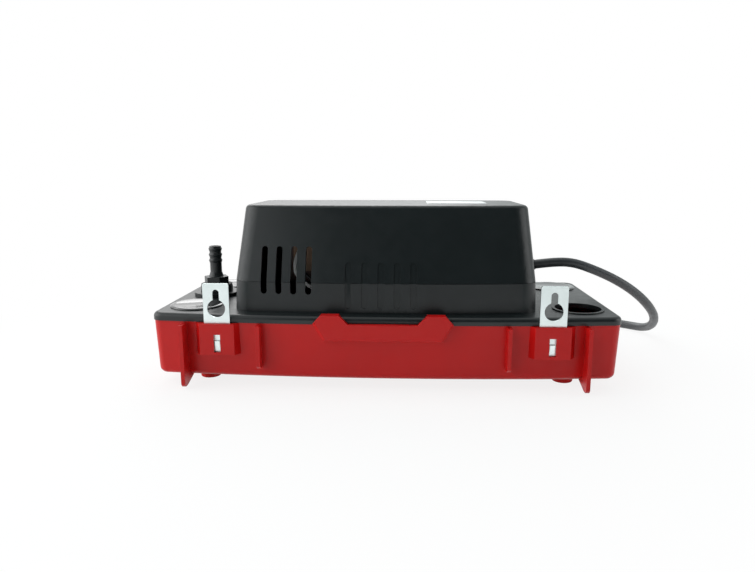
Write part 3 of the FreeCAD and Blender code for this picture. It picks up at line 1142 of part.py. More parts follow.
def make_mains_plug(across, height):
    """A moulded plug lying on the floor, with two flat blades and a round earth pin."""
    plug = new_body("mains_plug")
    end = "(coil_y + coil_radius + cord_radius)"
    at = ("plug_x", end, "plug_thick / 2")
    pad(plug, "YZ_Plane", "0", "plug_length / 3", (circle, "0", "0", "plug_thick / 2 - plug_step"))
    pad(plug, "YZ_Plane", "plug_length / 3", "plug_length",
        (rectangle, "-plug_half", "plug_half", "-plug_thick / 2", "plug_thick / 2"))
    long_edges = size_of("plug_length / 2")
    soften(plug, "Fillet", "plug_round", lambda edge: edge.BoundBox.XLength > long_edges)
    keep("mains_plug", plug, at)
    blades = new_body("plug_blades")
    for side in ("", "-"):
        middle = "%sblade_pitch / 2" % side
        pad(blades, "YZ_Plane", "plug_length", "plug_length + blade_length",
            (rectangle, middle + " - blade_sheet / 2", middle + " + blade_sheet / 2", "0", "blade_width"))
    keep("plug_blades", blades, at)
    pin = new_body("plug_earth_pin")
    pad(pin, "YZ_Plane", "plug_length", "plug_length + blade_length + earth_reach",
        (circle, "0", "-blade_width / 2 - earth_drop", "earth_radius"))
    keep("plug_earth_pin", pin, at)


def make_leads():
    """Two insulated motor leads from the coil, past the open slots, to the snap switch."""
    leg_x = size_of("-pump_x - stator_left + coil_leg / 2")
    flange_y = -size_of("stator_window - slip_gap")
    start = size_of("stator_top + bobbin_wall + slip_gap + lead_off")
    deck = size_of(LID_TOP)
    switch_y = -size_of("switch_half")
    switch_x = size_of(PLUNGER_X) - 6
    seat = size_of("%s + ear_sheet + switch_height / 3" % LID_TOP)
    points = [(leg_x, flange_y, start), (leg_x, flange_y - 15, start),
              (leg_x + 1, flange_y - 28, start - 2), (leg_x - 3, flange_y - 34, start - 13),
              (leg_x - 3, flange_y - 35, deck + 27), (leg_x + 8, flange_y - 34, deck + 16),
              (leg_x + 30, flange_y - 31, deck + 10), (switch_x - 12, flange_y - 28, deck + 7),
              (switch_x - 1, flange_y - 17, deck + 6), (switch_x, switch_y - 8, seat),
              (switch_x, switch_y, seat)]
    for name, shift, rise in (("white", 0, 0), ("black", 4.5, 3.2)):
        add_tube("lead_" + name, [(x + shift, y, z + rise) for x, y, z in points], "lead_radius")


make_tank()
make_deck()
make_cover()
make_small_casing_parts()
make_hangers()
make_outlet()
make_motor()
make_pump()
make_float()
make_cover_screws()
make_cord()
make_leads()
document.recompute()

for piece in document.Objects:
    if "Invalid" in piece.State or "Error" in piece.State:
        sys.exit("%s is %s" % (piece.Label, piece.State))
for label, piece in nodes.items():
    if piece.Shape.isNull() or not piece.Shape.isValid():
        sys.exit("the shape of %s is not sound" % label)

os.makedirs("parts", exist_ok=True)
for label, piece in nodes.items():
    piece.Shape.exportStep("parts/%s.step" % label)
print("%d sub-parts" % len(nodes))
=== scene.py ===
"""Condensate pump: the finishes, the cord and the fine pieces round the fixed frame, in metres."""

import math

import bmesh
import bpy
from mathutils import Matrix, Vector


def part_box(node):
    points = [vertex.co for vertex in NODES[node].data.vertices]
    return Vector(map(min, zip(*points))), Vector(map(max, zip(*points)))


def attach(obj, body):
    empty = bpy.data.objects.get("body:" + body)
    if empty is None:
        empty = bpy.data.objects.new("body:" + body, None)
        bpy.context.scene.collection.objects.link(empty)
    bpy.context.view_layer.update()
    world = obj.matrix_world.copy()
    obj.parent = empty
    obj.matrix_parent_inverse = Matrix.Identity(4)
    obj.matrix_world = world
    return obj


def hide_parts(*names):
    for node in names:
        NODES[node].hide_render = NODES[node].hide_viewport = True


bl_info = {
    "name": "Condensate Pump Finishes",
    "version": (1, 0, 0),
    "blender": (4, 5, 0),
    "location": "3D View > Sidebar > Pump",
    "description": "Builds the finished pieces, the stage and the camera of a condensate pump",
    "category": "Object",
}

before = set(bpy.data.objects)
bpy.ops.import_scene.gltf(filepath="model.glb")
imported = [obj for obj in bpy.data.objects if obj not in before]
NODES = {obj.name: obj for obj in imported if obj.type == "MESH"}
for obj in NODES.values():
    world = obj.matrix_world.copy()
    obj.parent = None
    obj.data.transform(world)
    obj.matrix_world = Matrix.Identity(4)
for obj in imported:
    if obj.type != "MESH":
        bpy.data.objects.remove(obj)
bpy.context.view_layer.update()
MILLIMETRE = 0.001

# Points of a CAD mesh that lie nearer than this are one, and faces that meet flatter than this join
MERGE_DISTANCE = 2e-6
LEVEL_ANGLE = math.radians(0.4)
# Most of a noise's values lie in this range
NOISE_RANGE = (0.3, 0.7)

# The photograph's view: place in metres, lens and film in millimetres, dip and turn in radians
CAMERA_PLACE = (0.01706, -0.5204, 0.16087)
CAMERA_LENS, CAMERA_FILM = 29.495, 36
CAMERA_DIP, CAMERA_TURN = 0.1826, 0.0478

# Soft lamps: place and width in metres, and watts
LAMPS = {
    "key_lamp": ((-1.05, -0.45, 0.28), 1.7, 14.0),
    "side_lamp": ((0.95, -0.15, 0.35), 0.6, 1.6),
    "back_lamp": ((-0.2, 0.9, 0.8), 0.9, 5.0),
}
LAMP_AIM = Vector((0, 0, 0.06))

# The cord's route from the strain relief to its coil, and from the coil to the plug, in millimetres
CORD_EXIT = (129.38, 25, 80.75)
CORD_ROUTE = [CORD_EXIT, (145.22, 25, 82.97), (163, 25, 82.8), (182, 26, 76), (201, 28, 67.5),
              (220, 33, 56), (237, 43, 42), (250, 58, 28), (257, 77, 15), (257, 98, 6),
              (248, 117, 4), (232, 131, 4), (211, 137, 4), (189, 133, 4), (169, 122, 4),
              (148, 110, 4), (124, 103, 4), (99, 101, 4)]
CORD_TAIL = [(95, 205, 18.5), (109, 205, 14.5), (123, 205, 9.5), (137, 205, 9.5)]


class PumpSizes(bpy.types.PropertyGroup):
    """Sizes of the pieces that are built here."""
    cord_diameter: bpy.props.FloatProperty(
        name="Cord diameter", description="Diameter of the mains cord", default=0.008, unit="LENGTH")
    cord_length: bpy.props.FloatProperty(
        name="Cord length", description="Length of the mains cord", default=1.8, unit="LENGTH")
    coil_x: bpy.props.FloatProperty(
        name="Coil X", description="Middle of the cord coil, along the pump", default=0.085, unit="LENGTH")
    coil_y: bpy.props.FloatProperty(
        name="Coil Y", description="Middle of the cord coil, behind the pump", default=0.153, unit="LENGTH")
    coil_radius: bpy.props.FloatProperty(
        name="Coil radius", description="Middle radius of the coil's turns", default=0.048, unit="LENGTH")
    edge_round: bpy.props.FloatProperty(
        name="Edge rounding", description="Rounding of moulded edges", default=0.0004, unit="LENGTH")
    sheet_round: bpy.props.FloatProperty(
        name="Sheet rounding", description="Rounding of stamped edges", default=0.00018, unit="LENGTH")
    relief_tilt: bpy.props.FloatProperty(
        name="Relief tilt", description="Upward tilt of the strain relief", default=math.radians(8),
        subtype="ANGLE")
    wire_diameter: bpy.props.FloatProperty(
        name="Wire diameter", description="Diameter of the winding's wire", default=0.0009, unit="LENGTH")
    plate_sheet: bpy.props.FloatProperty(
        name="Lamination", description="Thickness of one lamination", default=0.0009, unit="LENGTH")


class PumpColours(bpy.types.PropertyGroup):
    """Colours of the finishes, as linear values."""
    red: bpy.props.FloatVectorProperty(
        name="Tank red", description="Moulded red of the tank", subtype="COLOR",
        default=(0.54, 0.0055, 0.0050))
    black: bpy.props.FloatVectorProperty(
        name="Satin black", description="Moulded black of the cover and deck", subtype="COLOR",
        default=(0.0105, 0.0145, 0.0155))
    gloss: bpy.props.FloatVectorProperty(
        name="Gloss black", description="Polished black of the inlet plugs", subtype="COLOR",
        default=(0.030, 0.032, 0.033))
    zinc: bpy.props.FloatVectorProperty(
        name="Zinc", description="Bright plate of the hangers and brackets", subtype="COLOR",
        default=(0.86, 0.96, 0.95))
    foot: bpy.props.FloatVectorProperty(
        name="Foot rubber", description="Rubber of the feet", subtype="COLOR", default=(0.80, 0.032, 0.028))
    cord: bpy.props.FloatVectorProperty(
        name="Cord", description="Jacket of the mains cord", subtype="COLOR", default=(0.058, 0.063, 0.068))
    copper: bpy.props.FloatVectorProperty(
        name="Copper", description="Enamelled winding wire", subtype="COLOR", default=(0.42, 0.13, 0.05))
    film: bpy.props.FloatVectorProperty(
        name="Label film", description="Blank film on the cover", subtype="COLOR",
        default=(0.80, 0.83, 0.83))


def sizes():
    return bpy.context.scene.pump_sizes


def colours():
    return bpy.context.scene.pump_colours


class Shader:
    """A node tree with a short way to add nodes and join them."""

    def __init__(self, tree):
        self.tree = tree
        tree.nodes.clear()

    def add(self, kind, values=None, **settings):
        node = self.tree.nodes.new(kind)
        for name, value in settings.items():
            setattr(node, name, value)
        for name, value in (values or {}).items():
            if isinstance(value, bpy.types.NodeSocket):
                self.tree.links.new(value, node.inputs[name])
            else:
                node.inputs[name].default_value = value
        return node

    def noise(self, scale, stretch=(1, 1, 1), detail=3):
        """Noise on Object coordinates, with its scale in waves to the metre."""
        place = self.add("ShaderNodeTexCoord").outputs["Object"]
        mapping = self.add("ShaderNodeMapping", {"Vector": place, "Scale": stretch}).outputs[0]
        values = {"Vector": mapping, "Scale": scale, "Detail": detail}
        return self.add("ShaderNodeTexNoise", values).outputs["Fac"]

    def ramp(self, factor, *stops):
        """A colour ramp with (position, colour) stops."""
        ramp = self.add("ShaderNodeValToRGB", {"Fac": factor})
        elements = ramp.color_ramp.elements
        while len(elements) < len(stops):
            elements.new(0.5)
        for element, (place, colour) in zip(elements, stops):
            element.position = place
            element.color = (*colour, 1)
        return ramp.outputs["Color"]

    def step(self, value, given, wanted):
        """A smooth step from one range of values to another."""
        values = {"Value": value, "From Min": given[0], "From Max": given[1], "To Min": wanted[0],
                  "To Max": wanted[1]}
        return self.add("ShaderNodeMapRange", values, interpolation_type="SMOOTHSTEP").outputs[0]

    def between(self, noise, low, high):
        """Noise spread over a narrow range."""
        return self.step(noise, NOISE_RANGE, (low, high))

    def mottled(self, noise, colour, share):
        """The colour, by up to a share darker or lighter where the noise is low or high."""
        low, high = NOISE_RANGE
        return self.ramp(noise, (low, shade(colour, 1 - share)), (high, shade(colour, 1 + share)))

    def maths(self, operation, first, second):
        """One operation on two values, such as their product."""
        return self.add("ShaderNodeMath", {0: first, 1: second}, operation=operation).outputs[0]

    def rays(self):
        """Whether a ray comes from the camera, and whether it was reflected or let through."""
        path = self.add("ShaderNodeLightPath").outputs
        bent = self.maths("MAXIMUM", path["Is Glossy Ray"], path["Is Transmission Ray"])
        return path["Is Camera Ray"], bent

    def bump(self, height, depth, strength, below=None):
        """Relief of a depth in metres, on top of the relief below."""
        values = {"Height": height, "Distance": depth, "Strength": strength}
        if below:
            values["Normal"] = below
        return self.add("ShaderNodeBump", values).outputs[0]


def shade(colour, factor):
    """The colour made lighter or darker."""
    return tuple(min(1.0, channel * factor) for channel in colour)


def new_material(name):
    material = bpy.data.materials.new(name)
    material.use_nodes = True
    return material, Shader(material.node_tree)


def finish_material(shader, values):
    surface = shader.add("ShaderNodeBsdfPrincipled", values)
    shader.add("ShaderNodeOutputMaterial", {"Surface": surface.outputs[0]})


def moulded(name, colour, rough=(0.3, 0.4), grain=2500, depth=0.00002, mottle=0.06, specular=0.5,
            coat=0.0):
    """Moulded plastic or rubber: a fine grain, slow swells and a slight change of colour."""
    material, shader = new_material(name)
    base = shader.mottled(shader.noise(24, detail=4), colour, mottle)
    swell = shader.bump(shader.noise(40, detail=1), 0.00005, 0.15)
    normal = shader.bump(shader.noise(grain, detail=2), depth, 0.8, swell)
    rough_map = shader.between(shader.noise(140, detail=5), *rough)
    finish_material(shader, {"Base Color": base, "Roughness": rough_map, "Normal": normal,
                             "Specular IOR Level": specular, "Coat Weight": coat, "Coat Roughness": 0.12})
    return material


def metal(name, colour, rough=(0.2, 0.35), streak=(1, 1, 1), scale=900, depth=0.000008, cloud=0.08):
    """Bare or plated metal: fine streaks, clouding and an uneven polish."""
    material, shader = new_material(name)
    base = shader.mottled(shader.noise(70, detail=5), colour, cloud)
    streaks = shader.noise(scale, streak, detail=4)
    relief = shader.bump(streaks, depth, 0.6)
    finish_material(shader, {"Base Color": base, "Metallic": 1.0, "Normal": relief,
                             "Roughness": shader.between(streaks, *rough)})
    return material


def jacket(name, colour):
    """Extruded cord jacket: slow changes of tone, a fine grain and a dull sheen."""
    material, shader = new_material(name)
    base = shader.mottled(shader.noise(35, detail=4), colour, 0.15)
    grain = shader.bump(shader.noise(3200, detail=2), 0.00002, 0.6)
    rough = shader.between(shader.noise(260, detail=5), 0.3, 0.42)
    finish_material(shader, {"Base Color": base, "Roughness": rough, "Normal": grain,
                             "Specular IOR Level": 0.55})
    return material


def dress_all(material, *names):
    """Give CAD nodes one material in all their slots."""
    for name in names:
        mesh = NODES[name].data
        mesh.materials.clear()
        mesh.materials.append(material)


def linked(name, mesh, material=None):
    piece = bpy.data.objects.new(name, mesh)
    bpy.context.scene.collection.objects.link(piece)
    if material:
        mesh.materials.clear()
        mesh.materials.append(material)
    return piece


def smooth(mesh, degrees=35):
    mesh.shade_smooth()
    mesh.set_sharp_from_angle(angle=math.radians(degrees))


def fixed(piece):
    """Make the piece's modifiers real."""
    graph = bpy.context.evaluated_depsgraph_get()
    mesh = bpy.data.meshes.new_from_object(piece.evaluated_get(graph), depsgraph=graph)
    piece.modifiers.clear()
    piece.data = mesh


def take(piece, body, slot, *nodes):
    """The piece rides on its body and stands for CAD nodes; its slot is not used."""
    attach(piece, body)
    if nodes:
        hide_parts(*nodes)


def turned(name, profile, material, steps=72):
    """A solid of revolution about Z, from (radius, height) points that start and end on the axis."""
    mesh = bpy.data.meshes.new(name)
    build = bmesh.new()
    rings = []
    for radius, height in profile:
        if radius == 0:
            rings.append([build.verts.new((0, 0, height))])
            continue
        turn = [2 * math.pi * step / steps for step in range(steps)]
        rings.append([build.verts.new((radius * math.cos(a), radius * math.sin(a), height)) for a in turn])
    for lower, upper in zip(rings, rings[1:]):
        for step in range(steps):
            after = (step + 1) % steps
            corners = [lower[step % len(lower)], lower[after % len(lower)],
                       upper[after % len(upper)], upper[step % len(upper)]]
            build.faces.new(list(dict.fromkeys(corners)))
    bmesh.ops.recalc_face_normals(build, faces=build.faces)
    build.to_mesh(mesh)
    build.free()
    smooth(mesh)
    return linked(name, mesh, material)


def placed(piece, matrix):
    """Put the piece's place in its mesh, as a CAD node's is."""
    piece.data.transform(matrix)
    piece.data.update()


def joined(node):
    """A copy of a CAD node's mesh with its loose triangles joined into faces."""
    mesh = NODES[node].data.copy()
    build = bmesh.new()
    build.from_mesh(mesh)
    bmesh.ops.remove_doubles(build, verts=build.verts, dist=MERGE_DISTANCE)
    bmesh.ops.dissolve_limit(build, angle_limit=LEVEL_ANGLE, verts=build.verts, edges=build.edges)
    build.to_mesh(mesh)
    build.free()
    return mesh


def softened(node, name, material, width, body="housing", slot=None):
    """A copy of a CAD node with its sharp edges rounded, which stands for the node."""
    piece = linked(name, joined(node), material)
    bevel = piece.modifiers.new("Edges", "BEVEL")
    bevel.width = width
    bevel.segments = 2
    bevel.limit_method = "ANGLE"
    bevel.angle_limit = math.radians(40)
    bevel.use_clamp_overlap = True
    fixed(piece)
    smooth(piece.data, 32)
    weights = piece.modifiers.new("Normals", "WEIGHTED_NORMAL")
    weights.keep_sharp = True
    weights.weight = 100
    fixed(piece)
    take(piece, body, slot, node)


def input_values(tree, modifier, values):
    """Set a Geometry Nodes modifier's inputs by their identifiers."""
    for item in tree.interface.items_tree:
        if item.item_type == "SOCKET" and item.in_out == "INPUT" and item.name in values:
            modifier[item.identifier] = values[item.name]


def new_growth(name, **inputs):
    """A Geometry Nodes tree with a geometry in and out and the named inputs."""
    tree = bpy.data.node_groups.new(name, "GeometryNodeTree")
    tree.interface.new_socket("Geometry", in_out="INPUT", socket_type="NodeSocketGeometry")
    for socket, kind in inputs.items():
        tree.interface.new_socket(socket, in_out="INPUT", socket_type="NodeSocket" + kind)
    tree.interface.new_socket("Geometry", in_out="OUTPUT", socket_type="NodeSocketGeometry")
    shader = Shader(tree)
    return tree, shader, shader.add("NodeGroupInput").outputs


def close_growth(shader, geometry, material):
    """End the tree: real copies with their material."""
    real = shader.add("GeometryNodeRealizeInstances", {"Geometry": geometry}).outputs[0]
    painted = shader.add("GeometryNodeSetMaterial", {"Geometry": real, "Material": material}).outputs[0]
    shader.add("NodeGroupOutput", {"Geometry": painted})


def in_row(shader, given, instance):
    """The instance at the points of a straight row, from the inputs Count and Step."""
    line = shader.add("GeometryNodeMeshLine", {"Count": given["Count"], "Offset": given["Step"]},
                      mode="OFFSET").outputs[0]
    return shader.add("GeometryNodeInstanceOnPoints", {"Points": line, "Instance": instance}).outputs[0]


def row_tree():
    """Copies of a piece in a straight row."""
    tree, shader, given = new_growth("Row", Count="Int", Step="Vector", Material="Material")
    copies = in_row(shader, given, given["Geometry"])
    close_growth(shader, copies, given["Material"])
    return tree


def places_tree():
    """Copies of one piece at the points of the mesh."""
    tree, shader, given = new_growth("Places", Piece="Object", Material="Material")
    piece = shader.add("GeometryNodeObjectInfo", {"Object": given["Piece"]}).outputs["Geometry"]
    copies = shader.add("GeometryNodeInstanceOnPoints", {"Points": given["Geometry"], "Instance": piece})
    close_growth(shader, copies.outputs[0], given["Material"])
    return tree


def sweep_tree():
    """A round wire along the mesh's edges, repeated in a row."""
    tree, shader, given = new_growth("Wires", Radius="Float", Count="Int", Step="Vector",
                                     Material="Material")
    path = shader.add("GeometryNodeMeshToCurve", {"Mesh": given["Geometry"]}).outputs[0]
    values = {"Resolution": 8, "Radius": given["Radius"]}
    profile = shader.add("GeometryNodeCurvePrimitiveCircle", values).outputs[0]
    wire = shader.add("GeometryNodeCurveToMesh", {"Curve": path, "Profile Curve": profile}).outputs[0]
    close_growth(shader, in_row(shader, given, wire), given["Material"])
    return tree


def grown(piece, tree, **values):
    """Run the piece through a Geometry Nodes tree, and make the result its plain mesh."""
    modifier = piece.modifiers.new("Growth", "NODES")
    modifier.node_group = tree
    input_values(tree, modifier, values)
    fixed(piece)
    smooth(piece.data)


def middle(node):
    low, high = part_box(node)
    return (low + high) / 2


def points_mesh(name, points, closed=False):
    """A mesh of bare points, or of one closed loop through them."""
    mesh = bpy.data.meshes.new(name)
    edges = [(n, (n + 1) % len(points)) for n in range(len(points))] if closed else []
    mesh.from_pydata(points, edges, [])
    return linked(name, mesh)


def arc(centre, radius, start, steps):
    """Points of a quarter circle about a centre, from the start angle in degrees."""
    turns = [math.radians(start + 90 * step / steps) for step in range(steps + 1)]
    return [(centre[0] + radius * math.cos(turn), centre[1] + radius * math.sin(turn)) for turn in turns]


class PUMP_OT_stage(bpy.types.Operator):
    """Floor, soft studio light and the camera at the photograph's viewing angle"""
    bl_idname = "pump.stage"
    bl_label = "Stage"

    def execute(self, context):
        scene = context.scene
        scene.view_settings.view_transform = "Standard"
        self.camera(scene)
        self.world(scene)
        self.floor()
        for name, (place, width, watts) in LAMPS.items():
            self.lamp(scene, name, place, width, watts)
        return {"FINISHED"}

    def camera(self, scene):
        data = bpy.data.cameras.new("camera")
        data.sensor_width = CAMERA_FILM
        data.lens = CAMERA_LENS
        data.clip_start = 0.01
        camera = bpy.data.objects.new("camera", data)
        camera.location = CAMERA_PLACE
        camera.rotation_euler = (math.pi / 2 - CAMERA_DIP, 0, CAMERA_TURN)
        scene.collection.objects.link(camera)
        scene.camera = camera

    def lamp(self, scene, name, place, width, watts):
        data = bpy.data.lights.new(name, "AREA")
        data.size = width
        data.energy = watts
        lamp = bpy.data.objects.new(name, data)
        lamp.location = place
        aim = LAMP_AIM - lamp.location
        lamp.rotation_euler = aim.to_track_quat("-Z", "Y").to_euler()
        scene.collection.objects.link(lamp)

    def world(self, scene):
        """A surround that is dim on the wall side, and a white backdrop that the camera sees.

        Reflections show the white too, strongest to the left and away from the wall side.
        """
        dim, bright = (0.040, 0.044, 0.046), (0.94, 1.0, 1.0)
        world = bpy.data.worlds.new("studio")
        world.use_nodes = True
        shader = Shader(world.node_tree)
        way = shader.add("ShaderNodeTexCoord").outputs["Generated"]
        split = shader.add("ShaderNodeSeparateXYZ", {"Vector": way})
        # From the wall side to the other, and from left to right
        across = shader.step(split.outputs["Y"], (-0.75, 0.15), (0.0, 1.0))
        tone = shader.ramp(across, (0.0, dim), (1.0, bright))
        side = shader.step(split.outputs["X"], (-0.6, 0.6), (1.5, 0.6))
        room = shader.add("ShaderNodeBackground", {"Color": tone, "Strength": side})
        white = shader.add("ShaderNodeBackground", {"Color": (1, 1, 1, 1), "Strength": 1.0})
        fade = shader.step(split.outputs["X"], (-0.3, 0.3), (1.0, 0.0))
        camera, bent = shader.rays()
        for share in (across, fade):
            bent = shader.maths("MULTIPLY", bent, share)
        seen = shader.maths("MAXIMUM", camera, bent)
        mix = shader.add("ShaderNodeMixShader", {0: seen, 1: room.outputs[0], 2: white.outputs[0]})
        shader.add("ShaderNodeOutputWorld", {"Surface": mix.outputs[0]})
        scene.world = world

    def floor(self):
        """A pale floor whose shadow fades out into white round the pump."""
        reach, pale = 4.0, 0.92
        mesh = bpy.data.meshes.new("floor")
        corners = [(x * reach, y * reach, 0) for x, y in ((-1, -1), (1, -1), (1, 1), (-1, 1))]
        mesh.from_pydata(corners, [], [(0, 1, 2, 3)])
        material, shader = new_material("floor")
        place = shader.add("ShaderNodeTexCoord").outputs["Object"]
        far = shader.add("ShaderNodeVectorMath", {0: place}, operation="LENGTH").outputs["Value"]
        share = shader.step(far, (0.2, 0.45), (0.84, 1.0))
        matt = shader.add("ShaderNodeBsdfDiffuse", {"Color": (pale, pale, pale, 1)})
        white = shader.add("ShaderNodeEmission", {"Color": (1, 1, 1, 1), "Strength": 1.0})
        seen = shader.maths("MULTIPLY", shader.maths("MAXIMUM", *shader.rays()), share)
        mix = shader.add("ShaderNodeMixShader", {0: seen, 1: matt.outputs[0], 2: white.outputs[0]})
        shader.add("ShaderNodeOutputMaterial", {"Surface": mix.outputs[0]})
        linked("floor", mesh, material)


class PUMP_OT_cord(bpy.types.Operator):
    """The mains cord as one smooth curve: down from the cover, round its coil and into the plug"""
    bl_idname = "pump.cord"
    bl_label = "Mains cord"

    def execute(self, context):
        size = sizes()
        half = size.cord_diameter / 2
        route = [Vector(point) * MILLIMETRE for point in CORD_ROUTE]
        route += self.coil(Vector((size.coil_x, size.coil_y, 0)), size.coil_radius, half)
        route += [Vector(point) * MILLIMETRE for point in CORD_TAIL]
        curve = bpy.data.curves.new("mains_cord", "CURVE")
        curve.dimensions = "3D"
        curve.bevel_depth = half
        curve.bevel_resolution = 5
        curve.resolution_u = 5
        curve.use_fill_caps = True
        spline = curve.splines.new("NURBS")
        spline.points.add(len(route) - 1)
        for point, place in zip(spline.points, route):
            point.co = (*place, 1)
        spline.order_u = 3
        spline.use_endpoint_u = True
        curve.materials.append(jacket("cord jacket", colours().cord))
        cord = bpy.data.objects.new("mains_cord", curve)
        context.scene.collection.objects.link(cord)
        take(cord, "housing", "cord_jacket", "power_cord", "cord_coil", "cord_tail")
        return {"FINISHED"}

    def coil(self, centre, radius, half):
        """The turns' points: clockwise, outside and inside in turn, each layer on the last."""
        outer, inner = radius + half, radius - half
        layers = [(outer, 0), (inner, 0), (inner, 1), (outer, 1), (outer, 2)]
        # Points to a turn, and how many of them it takes to pass to the next turn
        steps, shift = 24, 4
        points = []
        for number, (reach, layer) in enumerate(layers):
            last = number == len(layers) - 1
            count = steps // 2 if last else steps
            for step in range(1 if number == 0 else 0, count):
                into = 0.0
                if not last and step > steps - shift:
                    into = (step - steps + shift) / shift
                after = layers[number + 1] if not last else (reach, layer)
                size = reach + (after[0] - reach) * into
                height = half + 2 * half * (layer + (after[1] - layer) * into)
                angle = -math.pi / 2 - 2 * math.pi * step / steps
                points.append(centre + Vector((size * math.cos(angle), size * math.sin(angle), height)))
        return points


class PUMP_OT_plug(bpy.types.Operator):
    """The moulded mains plug with finger grips, two blades and an earth pin"""
    bl_idname = "pump.plug"
    bl_label = "Mains plug"

    def execute(self, context):
        low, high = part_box("mains_plug")
        rubber = moulded("plug rubber", colours().cord, rough=(0.4, 0.52), grain=2200, depth=0.00003)
        brass = metal("bright brass", (0.78, 0.60, 0.30), rough=(0.16, 0.26), streak=(8, 1, 1))
        centre, half = (low + high) / 2, (high - low) / 2
        length = high.x - low.x
        # Share of the length, and of the half width and half height, at each station of the body
        stations = [(0.0, 0.30, 0.42), (0.02, 0.42, 0.58), (0.16, 0.46, 0.64), (0.32, 0.56, 0.78),
                    (0.44, 0.80, 0.94), (0.54, 0.97, 1.0), (0.92, 1.0, 1.0), (0.975, 0.97, 0.965),
                    (1.0, 0.90, 0.88)]
        # The neck is nearly round and the head nearly square: powers of the section's curve
        neck_power, head_power, head_start = 0.85, 0.5, 0.4
        mesh = bpy.data.meshes.new("mains_plug_body")
        build = bmesh.new()
        rings = []
        sides = 40
        for along, wide, tall in stations:
            ring = []
            power = head_power if along > head_start else neck_power
            for step in range(sides):
                angle = 2 * math.pi * step / sides
                across = math.copysign(abs(math.cos(angle)) ** power, math.cos(angle))
                up = math.copysign(abs(math.sin(angle)) ** power, math.sin(angle))
                ring.append(build.verts.new((low.x + along * length, centre.y + across * half.y * wide,
                                             centre.z + up * half.z * tall)))
            rings.append(ring)
        for first, second in zip(rings, rings[1:]):
            for step in range(sides):
                after = (step + 1) % sides
                build.faces.new((first[step], second[step], second[after], first[after]))
        build.faces.new(rings[0])
        build.faces.new(list(reversed(rings[-1])))
        bmesh.ops.recalc_face_normals(build, faces=build.faces)
        build.to_mesh(mesh)
        build.free()
        smooth(mesh, 50)
        take(linked("mains_plug_body", mesh, rubber), "housing", "cord_jacket", "mains_plug")
        self.grips(Vector((low.x, centre.y, centre.z)), length, half.y, rubber)
        for node, name in (("plug_blades", "plug_blade_pair"), ("plug_earth_pin", "plug_earth")):
            softened(node, name, brass, 0.0003, slot="plated_brass")
        return {"FINISHED"}

    def grips(self, neck, length, half_width, rubber):
        """Raised finger ribs across both flat sides, in a row along the head."""
        mesh = bpy.data.meshes.new("plug_grips")
        build = bmesh.new()
        # Half a rib's thickness, its length and how far its middle lies under the side
        rib, tall, sunk = 0.0007, 0.0115, 0.0003
        # The row: how many, how far apart, and where it starts as a share of the plug's length
        ribs, pitch, start = 6, 0.0024, 0.55
        for side in (-1, 1):
            made = bmesh.ops.create_cube(build, size=1)["verts"]
            shape = Matrix.Diagonal((2 * rib, 2 * rib, tall, 1))
            place = Matrix.Translation((0, side * (half_width - sunk), 0))
            bmesh.ops.transform(build, matrix=place @ shape, verts=made)
        bmesh.ops.bevel(build, geom=build.edges, offset=rib * 0.6, segments=2, affect="EDGES")
        build.to_mesh(mesh)
        build.free()
        grips = linked("plug_grips", mesh, rubber)
        grown(grips, row_tree(), Count=ribs, Step=(pitch, 0, 0), Material=rubber)
        placed(grips, Matrix.Translation(neck + Vector((start * length, 0, 0))))
        take(grips, "housing", "cord_jacket")


class PUMP_OT_strain_relief(bpy.types.Operator):
    """The tapered bend relief: flanges on the cover's wall and a row of ribs down to the cord"""
    bl_idname = "pump.strain_relief"
    bl_label = "Strain relief"

    def execute(self, context):
        size = sizes()
        rubber = moulded("relief rubber", colours().cord, rough=(0.42, 0.55), grain=2200, depth=0.00003)
        # Radius and distance from the inner end, in millimetres: two flanges, then ribs that get narrower
        length, start, pitch, count = 22.6, 13.2, 2.35, 4
        first_rib, narrower = 6.9, 0.42
        profile = [(0, 0), (8.0, 0), (8.5, 0.5), (8.5, 2.6), (8.1, 3), (6.2, 3), (6.2, 9.8), (8.1, 9.8),
                   (8.5, 10.2), (8.5, 12.2), (8.0, 12.8), (first_rib, start)]
        for number in range(count):
            at = start + number * pitch
            outer = first_rib - narrower * number
            profile += [(outer, at + 0.1), (outer - 0.1, at + 1.1), (outer - 1.1, at + 1.3),
                        (outer - 1.15, at + 2.1)]
        profile += [(4.7, length - 0.05), (4.2, length), (0, length)]
        points = [(radius * MILLIMETRE, height * MILLIMETRE) for radius, height in profile]
        relief = turned("bend_relief", points, rubber, 56)
        way = Vector((math.cos(size.relief_tilt), 0, math.sin(size.relief_tilt)))
        inner = (Vector(CORD_EXIT) - way * length) * MILLIMETRE
        turn = Matrix.Rotation(math.pi / 2 - size.relief_tilt, 4, "Y")
        placed(relief, Matrix.Translation(inner) @ turn)
        take(relief, "housing", "cord_jacket", "strain_relief")
        return {"FINISHED"}


class PUMP_OT_casings(bpy.types.Operator):
    """The tank, the deck and the motor cover with rounded edges and moulded finishes"""
    bl_idname = "pump.casings"
    bl_label = "Casings"

    def execute(self, context):
        tone, size = colours(), sizes()
        red = moulded("moulded red", tone.red, rough=(0.30, 0.40), grain=2600, depth=0.000012,
                      mottle=0.04, specular=0.3)
        black = moulded("satin black", tone.black, rough=(0.30, 0.36), grain=3000, depth=0.00001,
                        mottle=0.08, specular=0.40)
        deck = moulded("deck black", tone.black, rough=(0.31, 0.36), grain=3000, depth=0.000015,
                       mottle=0.08)
        softened("tank", "tank_shell", red, size.edge_round, slot="red_plastic")
        softened("deck", "deck_plate", deck, size.edge_round, slot="black_plastic")
        softened("motor_cover", "cover_shell", black, size.edge_round / 2, slot="black_plastic")
        return {"FINISHED"}


